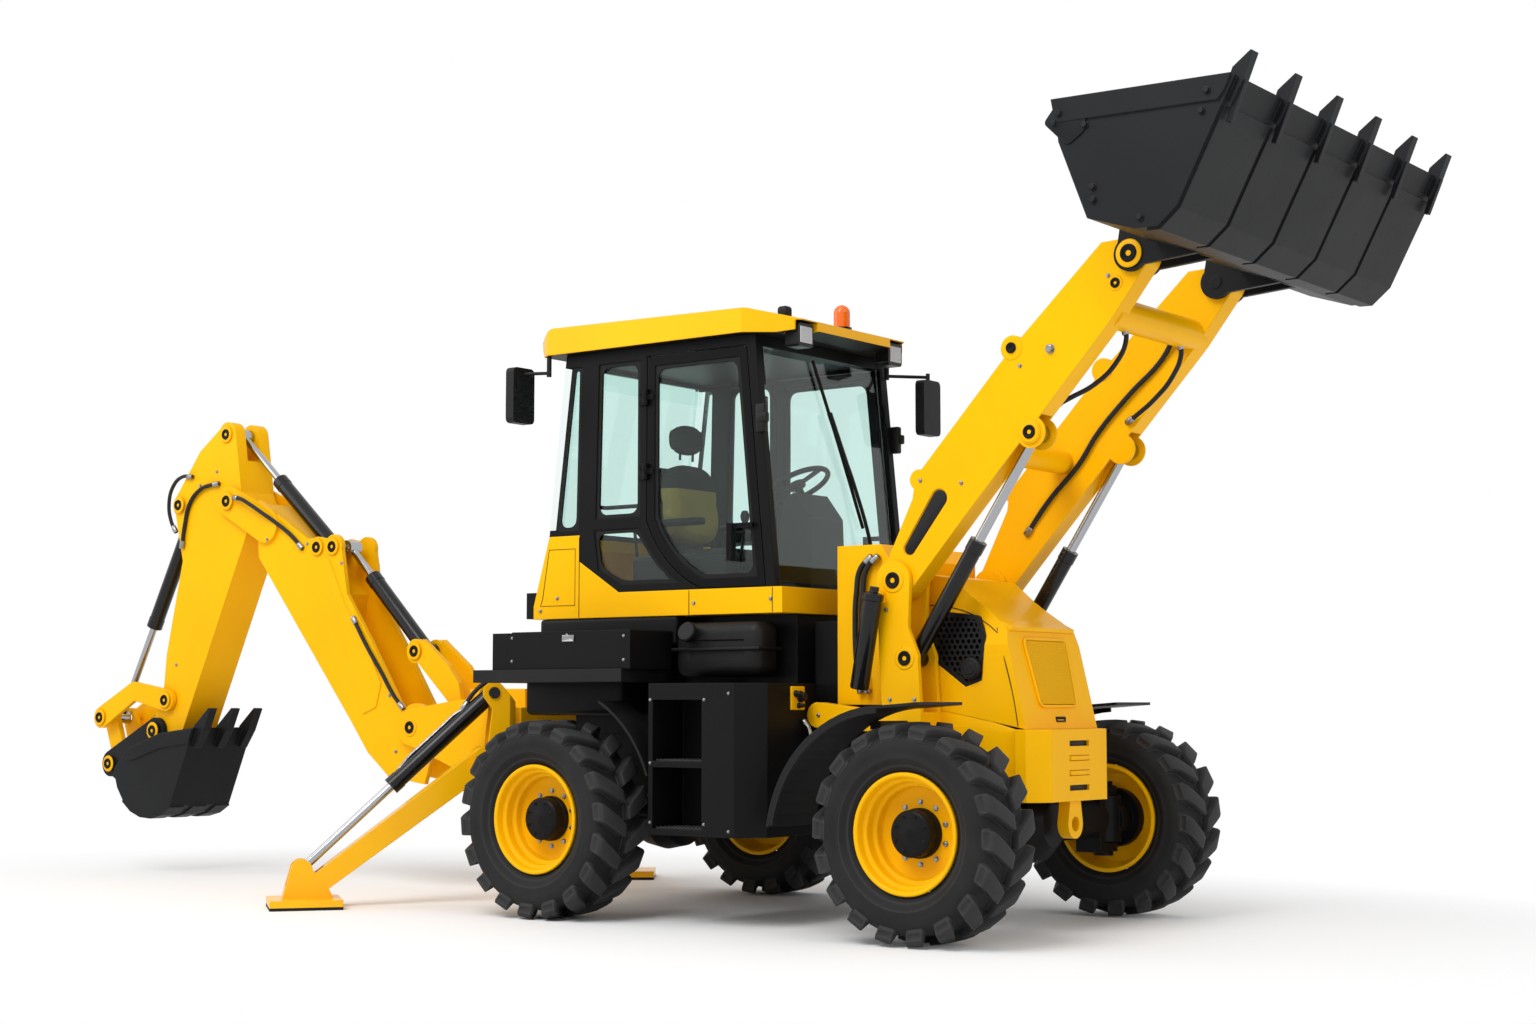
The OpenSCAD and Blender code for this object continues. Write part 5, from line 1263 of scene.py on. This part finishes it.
def makeTanks():
    x, y, z = tankSet["capPlace"]
    for side, name in bothSides:
        tank = sideBlock("tank", side, 0.055)
        editFaces(tank, lambda face: face.normal.y * side > 0.9 and face.area > 0.02)
        bpy.ops.mesh.inset(thickness=0.035, depth=0.0)
        bpy.ops.mesh.inset(thickness=0.006, depth=-0.008)
        endEdit()
        cap = turned(tankSet["cap"], at(x, side * y, z), (0, side, tankSet["capLean"]), 28)
        flange = sideBlock("flange", side, 0.006)
        finishPiece(joinAll([tank, flange, cap]), "sideTank" + name, trim, "chassis")
        trays = [sideBlock("tray", side, 0.020), sideBlock("arch", side, 0.030)]
        finishPiece(joinAll(trays), "underTray" + name, black, "chassis")
        board = sideBlock("switch", side, 0.004)
        board.data.materials.append(yellow)
        parts = [board]
        for across, up, r in tankSet["knobs"]:
            profile = [(0, 0.034), (r * 0.8, 0.034), (r, 0.028), (r, 0.010), (r * 1.3, 0.006), (r * 1.3, 0.0), (0, 0.0)]
            knob = turned(profile, at(tankSet["knobFoot"], side * across, up), (1, 0, 0), 20)
            knob.data.materials.append(trim)
            parts.append(knob)
        finishPiece(joinAll(parts), "switchBoard" + name, None, "chassis")
        hose("sumpPipe" + name, "chassis", mirrored(tankSet["pipe"], side), 0.010, zinc, 0.028)


makeSteps()
makeSideGear()
makeTanks()
print("steps, boxes and pipes on the sides")


# Hood and front: grilles, seams, latch, bumper, aprons

noseSet = {
    "seam": 0.0026, "latch": (2.462, 0.0, 1.005),
    "levels": (1.120, 1.340), "beside": 0.225, "grille": {"from": -0.055, "reach": 0.330, "low": 0.170, "high": 0.200},
    "cells": (34, 30),
    "sideGrille": [(1.900, 1.300), (1.920, 1.530), (2.170, 1.500), (2.210, 1.400), (2.190, 1.190), (2.100, 1.160)],
    "cap": (2.137, 1.248),
    "lines": [[(2.262, 1.440), (2.318, 1.280), (2.362, 1.110), (2.386, 0.975)], [(1.775, 1.366), (1.900, 1.366)],
              [(2.270, 1.415), (2.200, 1.462), (2.100, 1.512), (1.960, 1.548), (1.780, 1.562)]],
    "capProfile": [(0, 0.036), (0.028, 0.036), (0.031, 0.032), (0.044, 0.032), (0.053, 0.024), (0.055, 0.0), (0, 0.0)],
    "backFace": (0.306, 0.318), "hoodSide": 0.343,
    "apron": [(1.740, 1.075), (2.000, 1.062), (2.400, 0.952), (2.400, 0.660), (2.250, 0.660), (2.060, 0.800),
              (1.880, 0.960), (1.740, 1.010)],
}
noseTree = nodeTree("hood")
noseFace = [noseTree.ray_cast(at(4, noseSet["beside"], z), Vector((-1, 0, 0)))[0] for z in noseSet["levels"]]


def nosePoint(up, across, out):           # a place on the sloping nose: up the slope, across, and out of it
    (x0, z0), (x1, z1) = [(hit.x - rearX, hit.z) for hit in noseFace]
    length = math.hypot(x1 - x0, z1 - z0)
    ex, ez = (x1 - x0) / length, (z1 - z0) / length
    return at(x0 + ex * up + ez * out, across, z0 + ez * up - ex * out)


def makeGrilles():
    spec = noseSet["grille"]
    columns, rows = noseSet["cells"]
    deselect()
    bpy.ops.mesh.primitive_grid_add(x_subdivisions=columns, y_subdivisions=rows, size=2)
    panel = bpy.context.object
    for vertex in panel.data.vertices:
        u, v = vertex.co.x, (vertex.co.y + 1) / 2
        wide = spec["low"] + (spec["high"] - spec["low"]) * v - 0.010
        vertex.co = nosePoint(spec["from"] + 0.010 + (spec["reach"] - 0.020) * v, u * wide, 0.009)
    applyModifier(panel, "SOLIDIFY", thickness=0.006, offset=0.0)
    tidyMesh(panel)
    editFaces(panel, lambda face: face.normal.x > 0.9)
    bpy.ops.mesh.inset(thickness=0.0016, depth=-0.0022, use_individual=True)
    endEdit()
    corners = [(spec["from"], -spec["low"]), (spec["from"], spec["low"]), (spec["from"] + spec["reach"], spec["high"]),
               (spec["from"] + spec["reach"], -spec["high"])]
    border = [nosePoint(up, across, 0.006) for up, across in rounded(corners, 0.030)]
    frameTube = tubeAlong(border + border[:2], 0.008, 8, False)
    finishPiece(joinAll([panel, frameTube]), "noseGrille", yellow, "chassis", 25)
    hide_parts("front_grille")
    x, z = noseSet["cap"]
    near, far = noseSet["backFace"]
    for side, name in bothSides:
        back = plate([shrunk(noseSet["sideGrille"], 0.004)], side * near, side * far)
        cap = turned(noseSet["capProfile"], at(x, side * noseSet["hoodSide"], z), (0, side, 0), 40)
        finishPiece(joinAll([back, cap]), "grilleBack" + name, trim, "chassis")


def makeHoodSeams():
    parts = []
    for side in (-1, 1):
        for line in noseSet["lines"]:
            hits = [noseTree.ray_cast(at(x, side * 2, z), Vector((0, -side, 0)))[0] for x, z in line]
            hits = [hit for hit in hits if hit]
            if len(hits) > 1:
                parts.append(tubeAlong(hits, noseSet["seam"], 8))
    finishPiece(joinAll(parts), "hoodSeams", seal, "chassis")
    x, y, z = noseSet["latch"]
    spot = noseTree.ray_cast(at(4, y, z), Vector((-1, 0, 0)))[0]
    latch = boxPiece(spot + Vector((-0.010, -0.045, -0.014)), spot + Vector((0.006, 0.045, 0.014)), 0.005, 2)
    editFaces(latch, lambda face: face.normal.x > 0.9 and face.area > 0.0005)
    bpy.ops.mesh.inset(thickness=0.006, depth=-0.006)
    endEdit()
    finishPiece(latch, "hoodLatch", trim, "chassis")


bumperSet = {
    "slots": {"x": (2.496, 2.508), "half": 0.0935, "tall": 0.0245, "feet": (0.6708, 0.8808)},
    "ribs": {"x": (2.494, 2.529), "half": 0.090, "tall": 0.022, "feet": (0.742, 0.812)}, "apronFace": (0.332, 0.342),
}


def bumperBars(key, rounding, segments):
    spec = bumperSet[key]
    (x0, x1), half = spec["x"], spec["half"]
    return joinAll([boxPiece(at(x0, -half, z), at(x1, half, z + spec["tall"]), rounding,
                             segments) for z in spec["feet"]])


def makeBumper():
    finishPiece(bumperBars("slots", 0.003, 2), "bumperSlots", trim, "chassis")
    finishPiece(bumperBars("ribs", 0.008, 3), "bumperRibs", yellow, "chassis")
    near, far = bumperSet["apronFace"]
    for side, name in bothSides:
        apron = plate([rounded(noseSet["apron"], 0.030)], side * near, side * far)
        roundEdges(apron, 0.003, 2)
        finishPiece(apron, "frontApron" + name, yellow, "chassis")


makeGrilles()
makeHoodSeams()
makeBumper()
print("hood, grilles and bumper")

dropTemplates(boltModel, capModel)


# Studio

def makeWorld():
    world = bpy.data.worlds.new("studio")
    bpy.context.scene.world = world
    world.use_nodes = True
    tree = world.node_tree
    background = tree.nodes["Background"]
    background.inputs["Color"].default_value = (1, 1, 1, 1)
    path = tree.nodes.new("ShaderNodeLightPath")
    seen = tree.nodes.new("ShaderNodeMath")
    seen.operation = "ADD"
    tree.links.new(path.outputs["Is Camera Ray"], seen.inputs[0])
    tree.links.new(path.outputs["Is Transmission Ray"], seen.inputs[1])
    shiny = tree.nodes.new("ShaderNodeMath")
    shiny.operation = "ADD"
    shiny.use_clamp = True
    tree.links.new(seen.outputs[0], shiny.inputs[0])
    tree.links.new(path.outputs["Is Glossy Ray"], shiny.inputs[1])
    level = tree.nodes.new("ShaderNodeMapRange")
    tree.links.new(shiny.outputs[0], level.inputs[0])
    level.inputs[3].default_value = lightSet["world"]
    level.inputs[4].default_value = 1.0
    tree.links.new(level.outputs[0], background.inputs["Strength"])


def makeFloor():
    deselect()
    bpy.ops.mesh.primitive_plane_add(size=floorSet["size"], location=at(0, 0, 0))
    floor = bpy.context.object
    floor.name = "studioFloor"
    bpy.ops.object.transform_apply(location=True, rotation=True, scale=True)
    shader = Shader("floorPale", BaseColor=floorSet["colour"], Roughness=0.75)
    x, y = shader.axes()[:2]
    along, across = floorSet["squeeze"]
    far = (((x - rearX - floorSet["centre"]) * along) ** 2.0 + (y * across) ** 2.0) ** 0.5
    fade = shader.ramp(far, *floorSet["fade"])
    white = shader.node("Emission", {}, {"Color": (1, 1, 1), "Strength": 1.0})
    shader.blend(fade, white.socket)
    floor.data.materials.append(shader.material)


makeCamera()
for lampName in ("key", "front", "rear"):
    makeLamp(lampName)
makeWorld()
makeFloor()
bpy.context.scene.view_settings.view_transform = "Standard"
print("studio ready")
